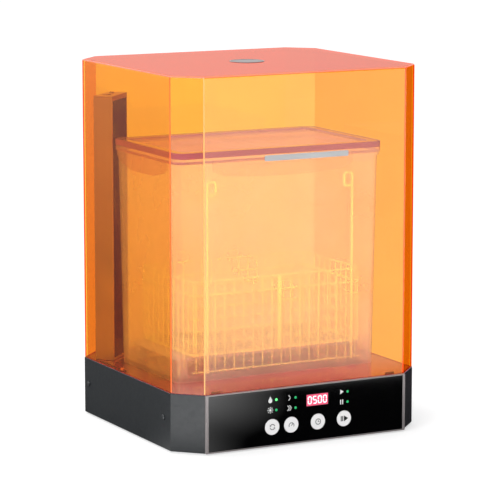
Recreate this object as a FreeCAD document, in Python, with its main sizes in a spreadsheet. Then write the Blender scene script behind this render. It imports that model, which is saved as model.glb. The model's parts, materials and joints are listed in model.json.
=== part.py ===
"""Wash-and-cure station for resin prints: octagonal sheet-metal base, lift-off amber cover, rinse bucket
with a snap lid, wire basket and magnetically driven impeller, and a curing-lamp column in the rear left
corner.  Millimetres, +Z up, +X to the right seen from the front, +Y to the back.  The origin is on the
table under the centre of the base.  Every size comes from the spreadsheet "Dims"."""

import FreeCAD, Part
import math
import os

import Sketcher

doc = FreeCAD.newDocument("wash_and_cure_station")
sheet = doc.addObject("Spreadsheet::Sheet", "Dims")

DIMENSIONS = [
    # overall outline, shared by base and cover
    ("body_width", 342.0), ("body_depth", 312.0), ("corner_leg", 31.0),
    ("foot_drop", 2.0), ("base_height", 72.0), ("cover_height", 385.0),
    # sheet metal, acrylic and board stock
    ("sheet_gauge", 1.5), ("cover_wall", 3.0), ("cover_inset", 0.6), ("edge_round", 2.5),
    ("board_gauge", 1.6),
    # front trim and panel
    ("trim_proud", 3.3), ("trim_side", 3.6), ("trim_edge", 1.7), ("panel_gap", 0.2), ("panel_gauge", 3.0),
    # controls on the front panel
    ("button_radius", 9.8), ("button_gap", 0.3), ("button_proud", 0.6), ("button_travel", 0.8),
    ("button_height", 26.2), ("mode_x", -49.2), ("speed_x", -22.6), ("time_x", 14.9), ("start_x", 51.9),
    ("display_x", 14.1), ("display_z", 61.0), ("display_width", 30.2), ("display_tall", 14.0),
    ("lamp_upper", 59.8), ("lamp_lower", 46.9), ("lamp_radius", 1.6),
    ("mode_lamp_x", -43.4), ("speed_lamp_x", -16.6), ("start_lamp_x", 56.9),
    # side screws
    ("screw_radius", 1.5), ("screw_head", 3.2), ("side_screw_front", -106.0), ("side_screw_rear", 112.0),
    ("side_screw_z", 41.0),
    # bucket
    ("bucket_x", 0.7), ("bucket_half_x", 140.3), ("bucket_half_y", 81.5), ("bucket_height", 272.0),
    ("bucket_draft", 0.8), ("bucket_wall", 2.5), ("bucket_floor", 5.0), ("bucket_corner", 11.0),
    ("rim_half_x", 145.0), ("rim_half_y", 91.0), ("rim_gauge", 3.5),
    # lid
    ("lid_half_x", 145.2), ("lid_half_y", 94.0), ("lid_corner", 15.0), ("lid_tall", 13.5), ("lid_gap", 0.5),
    ("band_wide", 3.0), ("band_tall", 7.0),
    ("latch_gap", 0.3), ("latch_bead", 1.5), ("latch_gauge", 2.0), ("latch_drop", 21.5),
    # guard plate and impeller
    ("guard_half_x", 130.0), ("guard_half_y", 67.0), ("guard_top", 102.5), ("guard_gauge", 4.0),
    ("impeller_radius", 32.0), ("pin_radius", 2.5), ("running_gap", 0.05), ("magnet_radius", 5.0),
    ("magnet_tall", 4.0), ("magnet_circle", 20.0),
    # basket
    ("basket_x", 5.0), ("basket_half_x", 117.5), ("basket_half_y", 71.0), ("mesh_wire", 1.8),
    ("mesh_weld", 0.2), ("rail_wire", 2.5), ("basket_floor_z", 103.0), ("basket_rim_z", 195.5),
    ("basket_mid_z", 178.5), ("basket_foot_z", 81.8), ("post_wire", 3.5), ("post_top", 322.0),
    ("left_post_x", -95.0), ("right_post_x", 110.0), ("strap_x", 6.0),
    # lamp column
    ("column_x", -137.2), ("column_y", 112.3), ("column_wide", 56.0), ("column_deep", 25.0),
    ("column_top", 414.0), ("column_wall", 1.8), ("column_cap", 2.0),
    # drive
    ("motor_radius", 19.0), ("motor_tall", 35.0), ("bridge_z", 52.0), ("rotor_radius", 30.0),
    ("rotor_z", 60.0), ("rotor_tall", 6.0), ("shaft_radius", 3.0),
    # rear connections
    ("rocker_x", 92.0), ("inlet_x", 120.0), ("rear_z", 38.0), ("rocker_tilt", 9.0), ("rocker_axis_in", 1.0),
    ("bezel_half_x", 9.6), ("bezel_half_z", 6.8), ("bezel_lip", 1.1), ("bezel_proud", 1.6),
    ("inlet_radius", 2.75), ("inlet_collar", 4.0), ("inlet_proud", 0.8),
    # names and badges: thin blank plates
    ("plate_half", 58.0), ("plate_low", 353.5), ("plate_tall", 7.0), ("plate_gauge", 0.6),
    ("badge_radius", 22.0),
]

for row, (alias, value) in enumerate(DIMENSIONS, start=1):
    sheet.set(f"A{row}", alias)
    sheet.set(f"B{row}", str(value))
    sheet.setAlias(f"B{row}", alias)
doc.recompute()


class Size:
    """A length that knows the spreadsheet formula it comes from."""

    def __init__(self, value, formula):
        self.value = value
        self.formula = formula

    @staticmethod
    def of(other):
        return other if isinstance(other, Size) else Size(float(other), repr(float(other)))

    def _join(self, other, sign, result):
        return Size(result, f"({self.formula} {sign} {Size.of(other).formula})")

    def __add__(self, other):
        return self._join(other, "+", self.value + Size.of(other).value)

    def __sub__(self, other):
        return self._join(other, "-", self.value - Size.of(other).value)

    def __mul__(self, other):
        return self._join(other, "*", self.value * Size.of(other).value)

    def __truediv__(self, other):
        return self._join(other, "/", self.value / Size.of(other).value)

    def __radd__(self, other):
        return Size.of(other) + self

    def __rsub__(self, other):
        return Size.of(other) - self

    def __rmul__(self, other):
        return Size.of(other) * self

    def __neg__(self):
        return Size.of(0) - self


D = {alias: Size(value, f"Dims.{alias}") for alias, value in DIMENSIONS}

HALF_X = D["body_width"] / 2
HALF_Y = D["body_depth"] / 2
BASE_Z = D["foot_drop"]
DECK_Z = D["foot_drop"] + D["base_height"]
DECK_UNDER = DECK_Z - D["sheet_gauge"]
FLOOR_Z = D["foot_drop"] + D["sheet_gauge"]
CHAMFER_INSET = 2.0 - math.sqrt(2.0)


# ---------------------------------------------------------------------------------------------
# building blocks: each makes one document object whose sizes are bound to the sheet
# ---------------------------------------------------------------------------------------------

def bind(target, prop, size):
    """Bind one property to a size's formula."""
    target.setExpression(prop, Size.of(size).formula)


def place(target, x=0, y=0, z=0, axis=None, angle=0):
    """Put an object at a bound position, turned by an angle about an axis through it."""
    if axis is not None:
        turn = FreeCAD.Rotation(FreeCAD.Vector(*axis), angle)
        target.Placement = FreeCAD.Placement(FreeCAD.Vector(0, 0, 0), turn)
    bind(target, ".Placement.Base.x", x)
    bind(target, ".Placement.Base.y", y)
    bind(target, ".Placement.Base.z", z)
    return target


def ordered(first, second):
    """Two sizes, the lower one first."""
    return sorted((Size.of(first), Size.of(second)), key=lambda size: size.value)


def block(name, x0, x1, y0, y1, z0, z1):
    """A box between two corners."""
    item = doc.addObject("Part::Box", name)
    bind(item, "Length", Size.of(x1) - x0)
    bind(item, "Width", Size.of(y1) - y0)
    bind(item, "Height", Size.of(z1) - z0)
    return place(item, x0, y0, z0)


TURN = {"x": ((0, 1, 0), 90), "y": ((1, 0, 0), -90), "z": (None, 0)}


def rod(name, radius, length, x=0, y=0, z=0, along="z"):
    """A cylinder that starts at a point and runs along +X, +Y or +Z."""
    item = doc.addObject("Part::Cylinder", name)
    bind(item, "Radius", radius)
    bind(item, "Height", length)
    axis, angle = TURN[along]
    return place(item, x, y, z, axis, angle)


def fuse(name, parts):
    """One solid from several that overlap or share faces."""
    item = doc.addObject("Part::MultiFuse", name)
    item.Shapes = parts
    item.Refine = True
    return item


def group(name, parts):
    """Several separate solids of the same kind in one object."""
    item = doc.addObject("Part::Compound", name)
    item.Links = parts
    return item


def cut(name, base, tools):
    """A solid with one or more tools taken out of it."""
    item = doc.addObject("Part::Cut", name)
    item.Base = base
    item.Tool = tools[0] if len(tools) == 1 else group(name + "_tools", tools)
    item.Refine = True
    return item


def plane_of(body, role):
    """A body's own origin plane."""
    return next(feature for feature in body.Origin.OriginFeatures if feature.Role == role)


def fix_point(sketch, edge, x, y):
    """Tie the start of a sketch edge to the sketch's origin with bound distances."""
    for kind, size, line in (("DistanceX", Size.of(x), -2), ("DistanceY", Size.of(y), -1)):
        if abs(size.value) < 1e-9:
            sketch.addConstraint(Sketcher.Constraint("PointOnObject", edge, 1, line))
            continue
        ends = (-1, 1, edge, 1) if size.value > 0 else (edge, 1, -1, 1)
        number = sketch.addConstraint(Sketcher.Constraint(kind, *ends, abs(size.value)))
        bind(sketch, f"Constraints[{number}]", size if size.value > 0 else -size)


def outline(body, role, points):
    """A closed polygon sketch on one of the body's origin planes, every corner bound."""
    sketch = body.newObject("Sketcher::SketchObject", body.Name + "_outline")
    sketch.AttachmentSupport = (plane_of(body, role), [""])
    sketch.MapMode = "FlatFace"
    corners = [FreeCAD.Vector(Size.of(x).value, Size.of(y).value, 0) for x, y in points]
    count = len(corners)
    for index in range(count):
        sketch.addGeometry(Part.LineSegment(corners[index], corners[(index + 1) % count]), False)
    for index in range(count):
        sketch.addConstraint(Sketcher.Constraint("Coincident", index, 2, (index + 1) % count, 1))
    for index, (x, y) in enumerate(points):
        fix_point(sketch, index, x, y)
    return sketch


def pad(name, role, points, length, symmetric=False, draft=None):
    """A PartDesign body with one pad of a polygon outline."""
    body = doc.addObject("PartDesign::Body", name)
    sketch = outline(body, role, points)
    feature = body.newObject("PartDesign::Pad", name + "_pad")
    feature.Profile = sketch
    bind(feature, "Length", length)
    feature.Midplane = symmetric
    if draft is not None:
        bind(feature, "TaperAngle", draft)
    sketch.Visibility = False
    return body


def round_edges(body, radius, chosen):
    """Fillet the edges of a body that pass a test."""
    doc.recompute()
    base = body.Tip
    names = [f"Edge{number}" for number, edge in enumerate(base.Shape.Edges, start=1) if chosen(edge)]
    feature = body.newObject("PartDesign::Fillet", body.Name + "_round")
    feature.Base = (base, names)
    bind(feature, "Radius", radius)
    body.Tip = feature
    return body


def is_upright(edge):
    """True for an edge that runs up, within the bucket's draft."""
    start, end = edge.Vertexes[0].Point, edge.Vertexes[-1].Point
    return abs(end.z - start.z) > 0.9 * edge.Length


def octagon_points(inset):
    """The base and cover outline, moved in by a distance."""
    x, y = HALF_X - inset, HALF_Y - inset
    leg = D["corner_leg"] - inset * CHAMFER_INSET
    return [(-x, -y + leg), (-x + leg, -y), (x - leg, -y), (x, -y + leg),
            (x, y - leg), (x - leg, y), (-x + leg, y), (-x, y - leg)]


def octagon(name, inset, z, height):
    """A solid octagonal prism of the base outline."""
    return place(pad(name, "XY_Plane", octagon_points(Size.of(inset)), height), z=z)


def rounded_block(name, half_x, half_y, corner, z, height, draft=None, x=0):
    """A box with rounded upright edges, centred on x, with optional draft."""
    points = [(-half_x, -half_y), (half_x, -half_y), (half_x, half_y), (-half_x, half_y)]
    body = pad(name, "XY_Plane", points, height, draft=draft)
    return place(round_edges(body, corner, is_upright), x=x, z=z)


def screw(name, x, y, z, along, head_side, length, head_tall=1.6):
    """A pan-head screw whose head seats on the point given; the shank runs the other way."""
    back = -1 if head_side < 0 else 1
    offset = {"x": (1, 0, 0), "y": (0, 1, 0), "z": (0, 0, 1)}[along]
    head_shift = 0 if back > 0 else -head_tall
    shank_shift = -length if back > 0 else 0
    start = [Size.of(at) + offset[i] * Size.of(head_shift) for i, at in enumerate((x, y, z))]
    tail = [Size.of(at) + offset[i] * Size.of(shank_shift) for i, at in enumerate((x, y, z))]
    head = rod(name + "_head", D["screw_head"], head_tall, *start, along=along)
    shank = rod(name + "_shank", D["screw_radius"], length, *tail, along=along)
    return fuse(name, [head, shank])


def pipe(name, radius, points, bend):
    """A lead of straight runs joined by tangent arcs, as one swept solid."""
    route = [FreeCAD.Vector(*[Size.of(value).value for value in point]) for point in points]
    edges = []
    start = route[0]
    for corner, following in zip(route[1:-1], route[2:]):
        into = (corner - start).normalize()
        out = (following - corner).normalize()
        trim = bend * math.tan(into.getAngle(out) / 2)
        first, last = corner - into * trim, corner + out * trim
        middle_way = (out - into).normalize()
        centre_far = bend / math.cos(into.getAngle(out) / 2)
        middle = corner + middle_way * (centre_far - bend)
        edges.append(Part.LineSegment(start, first).toShape())
        edges.append(Part.Arc(first, middle, last).toShape())
        start = last
    edges.append(Part.LineSegment(start, route[-1]).toShape())
    path = Part.Wire(edges)
    section = Part.Wire([Part.makeCircle(radius, route[0], (route[1] - route[0]).normalize())])
    item = doc.addObject("Part::Feature", name)
    item.Shape = path.makePipeShell([section], True, False)
    return item


PARTS = []


def keep(item, name):
    """List an object as a finished sub-part under the name of its file."""
    item.Label = name
    PARTS.append(item)
    return item


# ---------------------------------------------------------------------------------------------
# base: housing, bottom, feet, trim
# ---------------------------------------------------------------------------------------------

BUTTONS = [("mode", D["mode_x"]), ("speed", D["speed_x"]), ("time", D["time_x"]), ("start", D["start_x"])]
LAMPS_X = [D["mode_lamp_x"], D["speed_lamp_x"], D["start_lamp_x"]]
FRONT_HOLE_LEFT, FRONT_HOLE_RIGHT = -64, 68
FRONT_HOLE_LOW, FRONT_HOLE_HIGH = 12, 70
FOOT_X, FOOT_Y = 132, 112
FOOT_RADIUS, FOOT_STEM, FOOT_GRIP = 11, 3, 2
EAR_HALF, EAR_ABOVE_SCREW = 10, 9
HOLE_GAP = 0.1
LEAD_HOLE = 4
COLUMN_SCREWS = [(-16, -7), (16, -7), (-16, 7), (16, 7)]
SLOT_X0, SLOT_X1, SLOT_Y0, SLOT_Y1 = -166, -162, 14, 90
BRIDGE_HALF_X, BRIDGE_HALF_Y, BRIDGE_GAUGE, BRIDGE_TOE = 50, 30, 2, 14
TOE_SCREW_X, TOE_SCREW_Y = 58, 20
M3_SHORT = 5


def column_point(across, inward):
    """A point of the column's own frame, turned 45 degrees, as X and Y."""
    turn = math.sqrt(0.5)
    return D["column_x"] + (across - inward) * turn, D["column_y"] + (across + inward) * turn


def housing():
    gauge = D["sheet_gauge"]
    outer = octagon("housing_outer", 0, BASE_Z, D["base_height"])
    inner = octagon("housing_inner", gauge, BASE_Z, D["base_height"] - gauge)
    tools = [inner, block("front_window", FRONT_HOLE_LEFT, FRONT_HOLE_RIGHT, -HALF_Y, -HALF_Y + gauge,
                          FRONT_HOLE_LOW, FRONT_HOLE_HIGH)]
    half_x, half_z = D["bezel_half_x"] + HOLE_GAP, D["bezel_half_z"] + HOLE_GAP
    tools.append(block("rocker_window", D["rocker_x"] - half_x, D["rocker_x"] + half_x, HALF_Y - gauge,
                       HALF_Y, D["rear_z"] - half_z, D["rear_z"] + half_z))
    tools.append(rod("inlet_window", D["inlet_collar"] + HOLE_GAP, gauge, D["inlet_x"], HALF_Y - gauge,
                     D["rear_z"], along="y"))
    tools.append(block("interlock_slot", SLOT_X0, SLOT_X1, SLOT_Y0, SLOT_Y1, DECK_UNDER, DECK_Z))
    tools.append(rod("lead_hole", LEAD_HOLE, gauge, D["column_x"], D["column_y"], DECK_UNDER))
    clear = D["screw_radius"] + HOLE_GAP
    for number, (across, inward) in enumerate(COLUMN_SCREWS):
        x, y = column_point(across, inward)
        tools.append(rod(f"column_hole_{number}", clear, gauge, x, y, DECK_UNDER))
    for side, x in (("left", -HALF_X), ("right", HALF_X - gauge)):
        for end in ("front", "rear"):
            tools.append(rod(f"side_hole_{side}_{end}", clear, gauge, x, D[f"side_screw_{end}"],
                             D["side_screw_z"], along="x"))
    keep(cut("base_housing_cut", outer, tools), "base_housing")


def bottom():
    plate = octagon("bottom_octagon", D["sheet_gauge"] + 0.2, BASE_Z, D["sheet_gauge"])
    pieces = [plate]
    holes = []
    ear_out = HALF_X - D["sheet_gauge"]
    for side, sign in (("left", -1), ("right", 1)):
        for end in ("front", "rear"):
            y = D[f"side_screw_{end}"]
            low, high = ordered(ear_out * sign, (ear_out - D["sheet_gauge"]) * sign)
            pieces.append(block(f"ear_{side}_{end}", low, high, y - EAR_HALF, y + EAR_HALF, BASE_Z,
                                D["side_screw_z"] + EAR_ABOVE_SCREW))
            holes.append(rod(f"ear_hole_{side}_{end}", D["screw_radius"], D["sheet_gauge"], low, y,
                             D["side_screw_z"], along="x"))
    for x in (-FOOT_X, FOOT_X):
        for y in (-FOOT_Y, FOOT_Y):
            holes.append(rod("foot_hole", FOOT_STEM, D["sheet_gauge"], x, y, BASE_Z))
    for x in (-TOE_SCREW_X, TOE_SCREW_X):
        for y in (-TOE_SCREW_Y, TOE_SCREW_Y):
            holes.append(rod("bridge_tap", D["screw_radius"], D["sheet_gauge"], x, y, BASE_Z))
    keep(cut("bottom_plate_cut", fuse("bottom_plate_solid", pieces), holes), "bottom_plate")


def feet():
    pieces = []
    for x in (-FOOT_X, FOOT_X):
        for y in (-FOOT_Y, FOOT_Y):
            pad_disc = rod("foot_pad", FOOT_RADIUS, D["foot_drop"], x, y, 0)
            stem = rod("foot_stem", FOOT_STEM, D["sheet_gauge"] + FOOT_GRIP, x, y, BASE_Z)
            pieces.append(fuse("foot", [pad_disc, stem]))
    keep(group("feet", pieces), "rubber_feet")


def side_screws():
    pieces = []
    for end in ("front", "rear"):
        y = D[f"side_screw_{end}"]
        pieces.append(screw(f"left_screw_{end}", -HALF_X, y, D["side_screw_z"], "x", -1, M3_SHORT))
        pieces.append(screw(f"right_screw_{end}", HALF_X, y, D["side_screw_z"], "x", 1, M3_SHORT))
    keep(group("side_screw_set", pieces), "side_screws")


def front_trim():
    front = -HALF_Y - D["trim_proud"]
    side = HALF_X - D["corner_leg"]
    frame = block("trim_block", -side, side, front, -HALF_Y, BASE_Z, DECK_Z)
    opening = block("trim_opening", -side + D["trim_side"], side - D["trim_side"], front, -HALF_Y,
                    BASE_Z + D["trim_edge"], DECK_Z - D["trim_edge"])
    keep(cut("front_trim_cut", frame, [opening]), "front_trim")


def front_panel():
    side = HALF_X - D["corner_leg"] - D["trim_side"] - D["panel_gap"]
    front = -HALF_Y - D["panel_gauge"]
    slab = block("panel_slab", -side, side, front, -HALF_Y, BASE_Z + D["trim_edge"] + D["panel_gap"],
                 DECK_Z - D["trim_edge"] - D["panel_gap"])
    tools = []
    for name, x in BUTTONS:
        tools.append(rod(f"{name}_hole", D["button_radius"] + D["button_gap"], D["panel_gauge"], x, front,
                         D["button_height"], along="y"))
    for x in LAMPS_X:
        for level in ("upper", "lower"):
            tools.append(rod("lamp_hole", D["lamp_radius"] + HOLE_GAP, D["panel_gauge"], x, front,
                             D[f"lamp_{level}"], along="y"))
    half = D["display_width"] / 2 + HOLE_GAP
    tall = D["display_tall"] / 2 + HOLE_GAP
    middle = D["display_z"] - D["display_tall"] / 2
    tools.append(block("display_window", D["display_x"] - half, D["display_x"] + half, front, -HALF_Y,
                       middle - tall, middle + tall))
    keep(cut("front_panel_cut", slab, tools), "front_panel")


# ---------------------------------------------------------------------------------------------
# controls behind the panel
# ---------------------------------------------------------------------------------------------

BOARD_Y = -149.4
BOARD_X0, BOARD_X1, BOARD_Z0, BOARD_Z1 = -76, 80, 10, 71
POST_SPOTS = [(-70, 16), (-70, 65), (74, 16), (74, 65)]
FLANGE_GAUGE, FLANGE_WIDER = 1.0, 1.6
FLANGE_Y = -155.9
DISPLAY_FACE = -158.7
STANDOFF_RADIUS = 2.75
LAMP_COLLAR_WIDER, LAMP_COLLAR_DEEP = 0.6, 1.5
SWITCH_HALF, SWITCH_FACE, PLUNGER_RADIUS, PLUNGER_FACE = 3, -153.2, 1.75, -153.95


def control_board():
    board = block("board_slab", BOARD_X0, BOARD_X1, BOARD_Y, BOARD_Y + D["board_gauge"], BOARD_Z0, BOARD_Z1)
    holes = [rod("board_hole", D["screw_radius"], D["board_gauge"], x, BOARD_Y, z, along="y")
             for x, z in POST_SPOTS]
    keep(cut("control_board_cut", board, holes), "control_board")
    wall = -HALF_Y + D["sheet_gauge"]
    posts = []
    for x, z in POST_SPOTS:
        sleeve = rod("standoff_sleeve", STANDOFF_RADIUS, BOARD_Y - wall, x, wall, z, along="y")
        thread = rod("standoff_thread", D["screw_radius"], BOARD_Y - wall, x, wall, z, along="y")
        posts.append(cut("standoff", sleeve, [thread]))
    keep(group("standoffs", posts), "board_standoffs")


def display():
    half = D["display_width"] / 2
    keep(block("display_block", D["display_x"] - half, D["display_x"] + half, DISPLAY_FACE, BOARD_Y,
               D["display_z"] - D["display_tall"], D["display_z"]), "display_module")


def lamps():
    pieces = []
    for x in LAMPS_X:
        for level in ("upper", "lower"):
            z = D[f"lamp_{level}"]
            front = -HALF_Y - D["panel_gauge"]
            barrel = rod("lamp_barrel", D["lamp_radius"], BOARD_Y - front, x, front, z, along="y")
            collar = rod("lamp_collar", D["lamp_radius"] + LAMP_COLLAR_WIDER, LAMP_COLLAR_DEEP, x,
                         BOARD_Y - LAMP_COLLAR_DEEP, z, along="y")
            pieces.append(fuse("lamp", [barrel, collar]))
    keep(group("lamp_set", pieces), "indicator_leds")


def switches():
    pieces = []
    for name, x in BUTTONS:
        z = D["button_height"]
        case = block(f"{name}_switch_case", x - SWITCH_HALF, x + SWITCH_HALF, SWITCH_FACE, BOARD_Y,
                     z - SWITCH_HALF, z + SWITCH_HALF)
        plunger = rod(f"{name}_plunger", PLUNGER_RADIUS, SWITCH_FACE - PLUNGER_FACE, x, PLUNGER_FACE, z,
                      along="y")
        pieces.append(fuse(f"{name}_switch", [case, plunger]))
    keep(group("switch_set", pieces), "tact_switches")


def buttons():
    front = -HALF_Y - D["panel_gauge"] - D["button_proud"]
    for name, x in BUTTONS:
        cap = rod(f"{name}_cap", D["button_radius"], FLANGE_Y - front, x, front, D["button_height"],
                  along="y")
        flange = rod(f"{name}_flange", D["button_radius"] + FLANGE_WIDER, FLANGE_GAUGE, x, FLANGE_Y,
                     D["button_height"], along="y")
        keep(fuse(f"{name}_button_solid", [cap, flange]), f"{name}_button")


# ---------------------------------------------------------------------------------------------
# electronics and drive inside the base
# ---------------------------------------------------------------------------------------------

MAIN_X0, MAIN_X1, MAIN_Y0, MAIN_Y1, MAIN_Z = 68, 152, 20, 110, 13.5
MAIN_SCREW_IN, MAIN_POST, MAIN_TAP = 6, 3, 6
MOTOR_SCREW_X, MOTOR_TAP, MOTOR_BOSS, BOSS_GAP = 12.5, 3, 7, 0.2
SHAFT_LONG, SHAFT_BORE = 30, 20
ROUND_COMPONENTS = [("capacitor_a", 6, 20, 88, 60), ("capacitor_b", 6, 20, 104, 60),
                    ("buzzer", 6, 9, 130, 84)]
SQUARE_COMPONENTS = [("heat_sink", 118, 142, 44, 60, 22), ("driver_chip", 90, 102, 78, 90, 2),
                     ("motor_plug", 70, 78, 38, 50, 8), ("lamp_plug", 70, 78, 80, 92, 8),
                     ("inlet_plug", 112, 126, 98, 106, 8)]


def main_board():
    spots = [(x, y) for x in (MAIN_X0 + MAIN_SCREW_IN, MAIN_X1 - MAIN_SCREW_IN)
             for y in (MAIN_Y0 + MAIN_SCREW_IN, MAIN_Y1 - MAIN_SCREW_IN)]
    board = block("main_slab", MAIN_X0, MAIN_X1, MAIN_Y0, MAIN_Y1, MAIN_Z, MAIN_Z + D["board_gauge"])
    holes = [rod("main_hole", D["screw_radius"], D["board_gauge"], x, y, MAIN_Z) for x, y in spots]
    keep(cut("main_board_cut", board, holes), "main_board")
    posts = []
    for x, y in spots:
        sleeve = rod("post_sleeve", MAIN_POST, MAIN_Z - FLOOR_Z, x, y, FLOOR_Z)
        thread = rod("post_thread", D["screw_radius"], MAIN_TAP, x, y, MAIN_Z - MAIN_TAP)
        posts.append(cut("post", sleeve, [thread]))
    keep(group("posts", posts), "main_board_posts")
    return spots


def board_components():
    top = MAIN_Z + D["board_gauge"]
    pieces = [rod(name, radius, tall, x, y, top) for name, radius, tall, x, y in ROUND_COMPONENTS]
    for name, x0, x1, y0, y1, tall in SQUARE_COMPONENTS:
        pieces.append(block(name, x0, x1, y0, y1, top, top + tall))
    keep(group("component_set", pieces), "board_components")


def internal_screws(spots):
    pieces = []
    for number, (x, y) in enumerate(spots):
        pieces.append(screw(f"main_screw_{number}", x, y, MAIN_Z + D["board_gauge"], "z", 1, M3_SHORT))
    for number, (x, z) in enumerate(POST_SPOTS):
        pieces.append(screw(f"board_screw_{number}", x, BOARD_Y + D["board_gauge"], z, "y", 1, M3_SHORT))
    for number, sign_x in enumerate((-1, 1)):
        pieces.append(screw(f"motor_screw_{number}", MOTOR_SCREW_X * sign_x, 0, D["bridge_z"] + BRIDGE_GAUGE,
                            "z", 1, M3_SHORT))
        for sign_y in (-1, 1):
            pieces.append(screw(f"bridge_screw_{number}_{sign_y + 1}", TOE_SCREW_X * sign_x,
                                TOE_SCREW_Y * sign_y, FLOOR_Z + BRIDGE_GAUGE, "z", 1,
                                D["sheet_gauge"] + BRIDGE_GAUGE))
    keep(group("internal_screw_set", pieces), "internal_screws")


def motor():
    can = rod("motor_can", D["motor_radius"], D["motor_tall"], 0, 0, D["bridge_z"] - D["motor_tall"])
    boss = rod("motor_boss", MOTOR_BOSS, BRIDGE_GAUGE, 0, 0, D["bridge_z"])
    bore = rod("motor_bore", D["shaft_radius"] + D["running_gap"], SHAFT_BORE, 0, 0,
               D["bridge_z"] + BRIDGE_GAUGE - SHAFT_BORE)
    taps = [rod("motor_tap", D["screw_radius"], MOTOR_TAP, MOTOR_SCREW_X * sign, 0, D["bridge_z"] - MOTOR_TAP)
            for sign in (-1, 1)]
    keep(cut("drive_motor_cut", fuse("motor_solid", [can, boss]), [bore] + taps), "drive_motor")


def bridge():
    low, high = D["bridge_z"], D["bridge_z"] + BRIDGE_GAUGE
    pieces = [block("bridge_top", -BRIDGE_HALF_X, BRIDGE_HALF_X, -BRIDGE_HALF_Y, BRIDGE_HALF_Y, low, high)]
    holes = [rod("boss_hole", MOTOR_BOSS + BOSS_GAP, BRIDGE_GAUGE, 0, 0, low)]
    for sign in (-1, 1):
        edges = ordered(BRIDGE_HALF_X * sign, (BRIDGE_HALF_X - BRIDGE_GAUGE) * sign)
        toes = ordered(BRIDGE_HALF_X * sign, (BRIDGE_HALF_X + BRIDGE_TOE) * sign)
        pieces.append(block("bridge_leg", *edges, -BRIDGE_HALF_Y, BRIDGE_HALF_Y, FLOOR_Z, high))
        pieces.append(block("bridge_foot", *toes, -BRIDGE_HALF_Y, BRIDGE_HALF_Y, FLOOR_Z,
                            FLOOR_Z + BRIDGE_GAUGE))
        holes.append(rod("bridge_hole", D["screw_radius"], BRIDGE_GAUGE, MOTOR_SCREW_X * sign, 0, low))
        for sign_y in (-1, 1):
            holes.append(rod("toe_hole", D["screw_radius"], BRIDGE_GAUGE, TOE_SCREW_X * sign,
                             TOE_SCREW_Y * sign_y, FLOOR_Z))
    keep(cut("motor_bracket_cut", fuse("bridge_solid", pieces), holes), "motor_bracket")


def magnet_ring(name, z):
    """Four upright magnets on the drive circle."""
    circle = D["magnet_circle"]
    spots = [(circle, 0), (0, circle), (-circle, 0), (0, -circle)]
    return [rod(name, D["magnet_radius"], D["magnet_tall"], x, y, z) for x, y in spots]


def rotor():
    keep(rod("shaft", D["shaft_radius"], SHAFT_LONG, 0, 0, D["rotor_z"] + D["rotor_tall"] - SHAFT_LONG),
         "motor_shaft")
    disc = rod("rotor_blank", D["rotor_radius"], D["rotor_tall"], 0, 0, D["rotor_z"])
    top = D["rotor_z"] + D["rotor_tall"] - D["magnet_tall"]
    bore = rod("rotor_bore", D["shaft_radius"], D["rotor_tall"], 0, 0, D["rotor_z"])
    keep(cut("rotor_disc_cut", disc, [bore] + magnet_ring("rotor_pocket", top)), "rotor_disc")
    keep(group("rotor_magnet_set", magnet_ring("rotor_magnet", top)), "rotor_magnets")


INLET_HALF_X, INLET_HALF_Z, INLET_LONG, INLET_DEEP, INLET_PIN = 7, 5.5, 11, 9, 1.05
BEZEL_LONG, BEZEL_WELL, BEZEL_WALL_X, BEZEL_WALL_Z = 16, 8, 1.0, 0.6
ROCKER_PIN, PIN_HALF, BEARING_HALF, PADDLE_WIDE = 1.6, 9.1, 9.3, 16.4
PADDLE_OUTLINE = [(-3, -2.4), (1.2, -4.9), (3.9, -4.9), (3.1, 0), (3.9, 4.9), (1.2, 4.9), (-3, 2.4)]
LEAD_RADIUS = 1.5


def rear_connections():
    """Barrel inlet and rocker switch in the back wall."""
    x, z = D["inlet_x"], D["rear_z"]
    inside, mouth = HALF_Y - D["sheet_gauge"], HALF_Y + D["inlet_proud"]
    case = block("inlet_case", x - INLET_HALF_X, x + INLET_HALF_X, inside - INLET_LONG, inside,
                 z - INLET_HALF_Z, z + INLET_HALF_Z)
    collar = rod("inlet_collar", D["inlet_collar"], mouth - inside, x, inside, z, along="y")
    socket = rod("inlet_socket", D["inlet_radius"], INLET_DEEP, x, mouth - INLET_DEEP, z, along="y")
    centre = rod("inlet_pin", INLET_PIN, INLET_DEEP - 1, x, mouth - INLET_DEEP, z, along="y")
    keep(fuse("inlet_solid", [cut("inlet_shell", fuse("inlet_blank", [case, collar]), [socket]), centre]),
         "power_inlet")
    x = D["rocker_x"]
    face = HALF_Y + D["bezel_proud"]
    half_x, half_z, lip = D["bezel_half_x"], D["bezel_half_z"], D["bezel_lip"]
    flange = block("bezel_flange", x - half_x - lip, x + half_x + lip, HALF_Y, face, z - half_z - lip,
                   z + half_z + lip)
    case = block("bezel_case", x - half_x, x + half_x, HALF_Y - BEZEL_LONG, HALF_Y, z - half_z, z + half_z)
    well_x, well_z = half_x - BEZEL_WALL_X, half_z - BEZEL_WALL_Z
    well = block("bezel_well", x - well_x, x + well_x, HALF_Y - BEZEL_WELL, face, z - well_z, z + well_z)
    bearing = rod("bezel_bearing", ROCKER_PIN + HOLE_GAP, 2 * BEARING_HALF, x - BEARING_HALF,
                  HALF_Y - D["rocker_axis_in"], z, along="x")
    keep(cut("rocker_bezel_cut", fuse("bezel_blank", [flange, case]), [well, bearing]), "rocker_bezel")


def rocker():
    paddle = pad("paddle", "YZ_Plane", PADDLE_OUTLINE, PADDLE_WIDE, symmetric=True)
    pin = rod("paddle_pin", ROCKER_PIN, 2 * PIN_HALF, -PIN_HALF, 0, 0, along="x")
    lever = fuse("power_rocker_solid", [paddle, pin])
    place(lever, D["rocker_x"], HALF_Y - D["rocker_axis_in"], D["rear_z"], (1, 0, 0), D["rocker_tilt"].value)
    bind(lever, ".Placement.Rotation.Angle", D["rocker_tilt"])
    keep(lever, "power_rocker")


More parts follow.
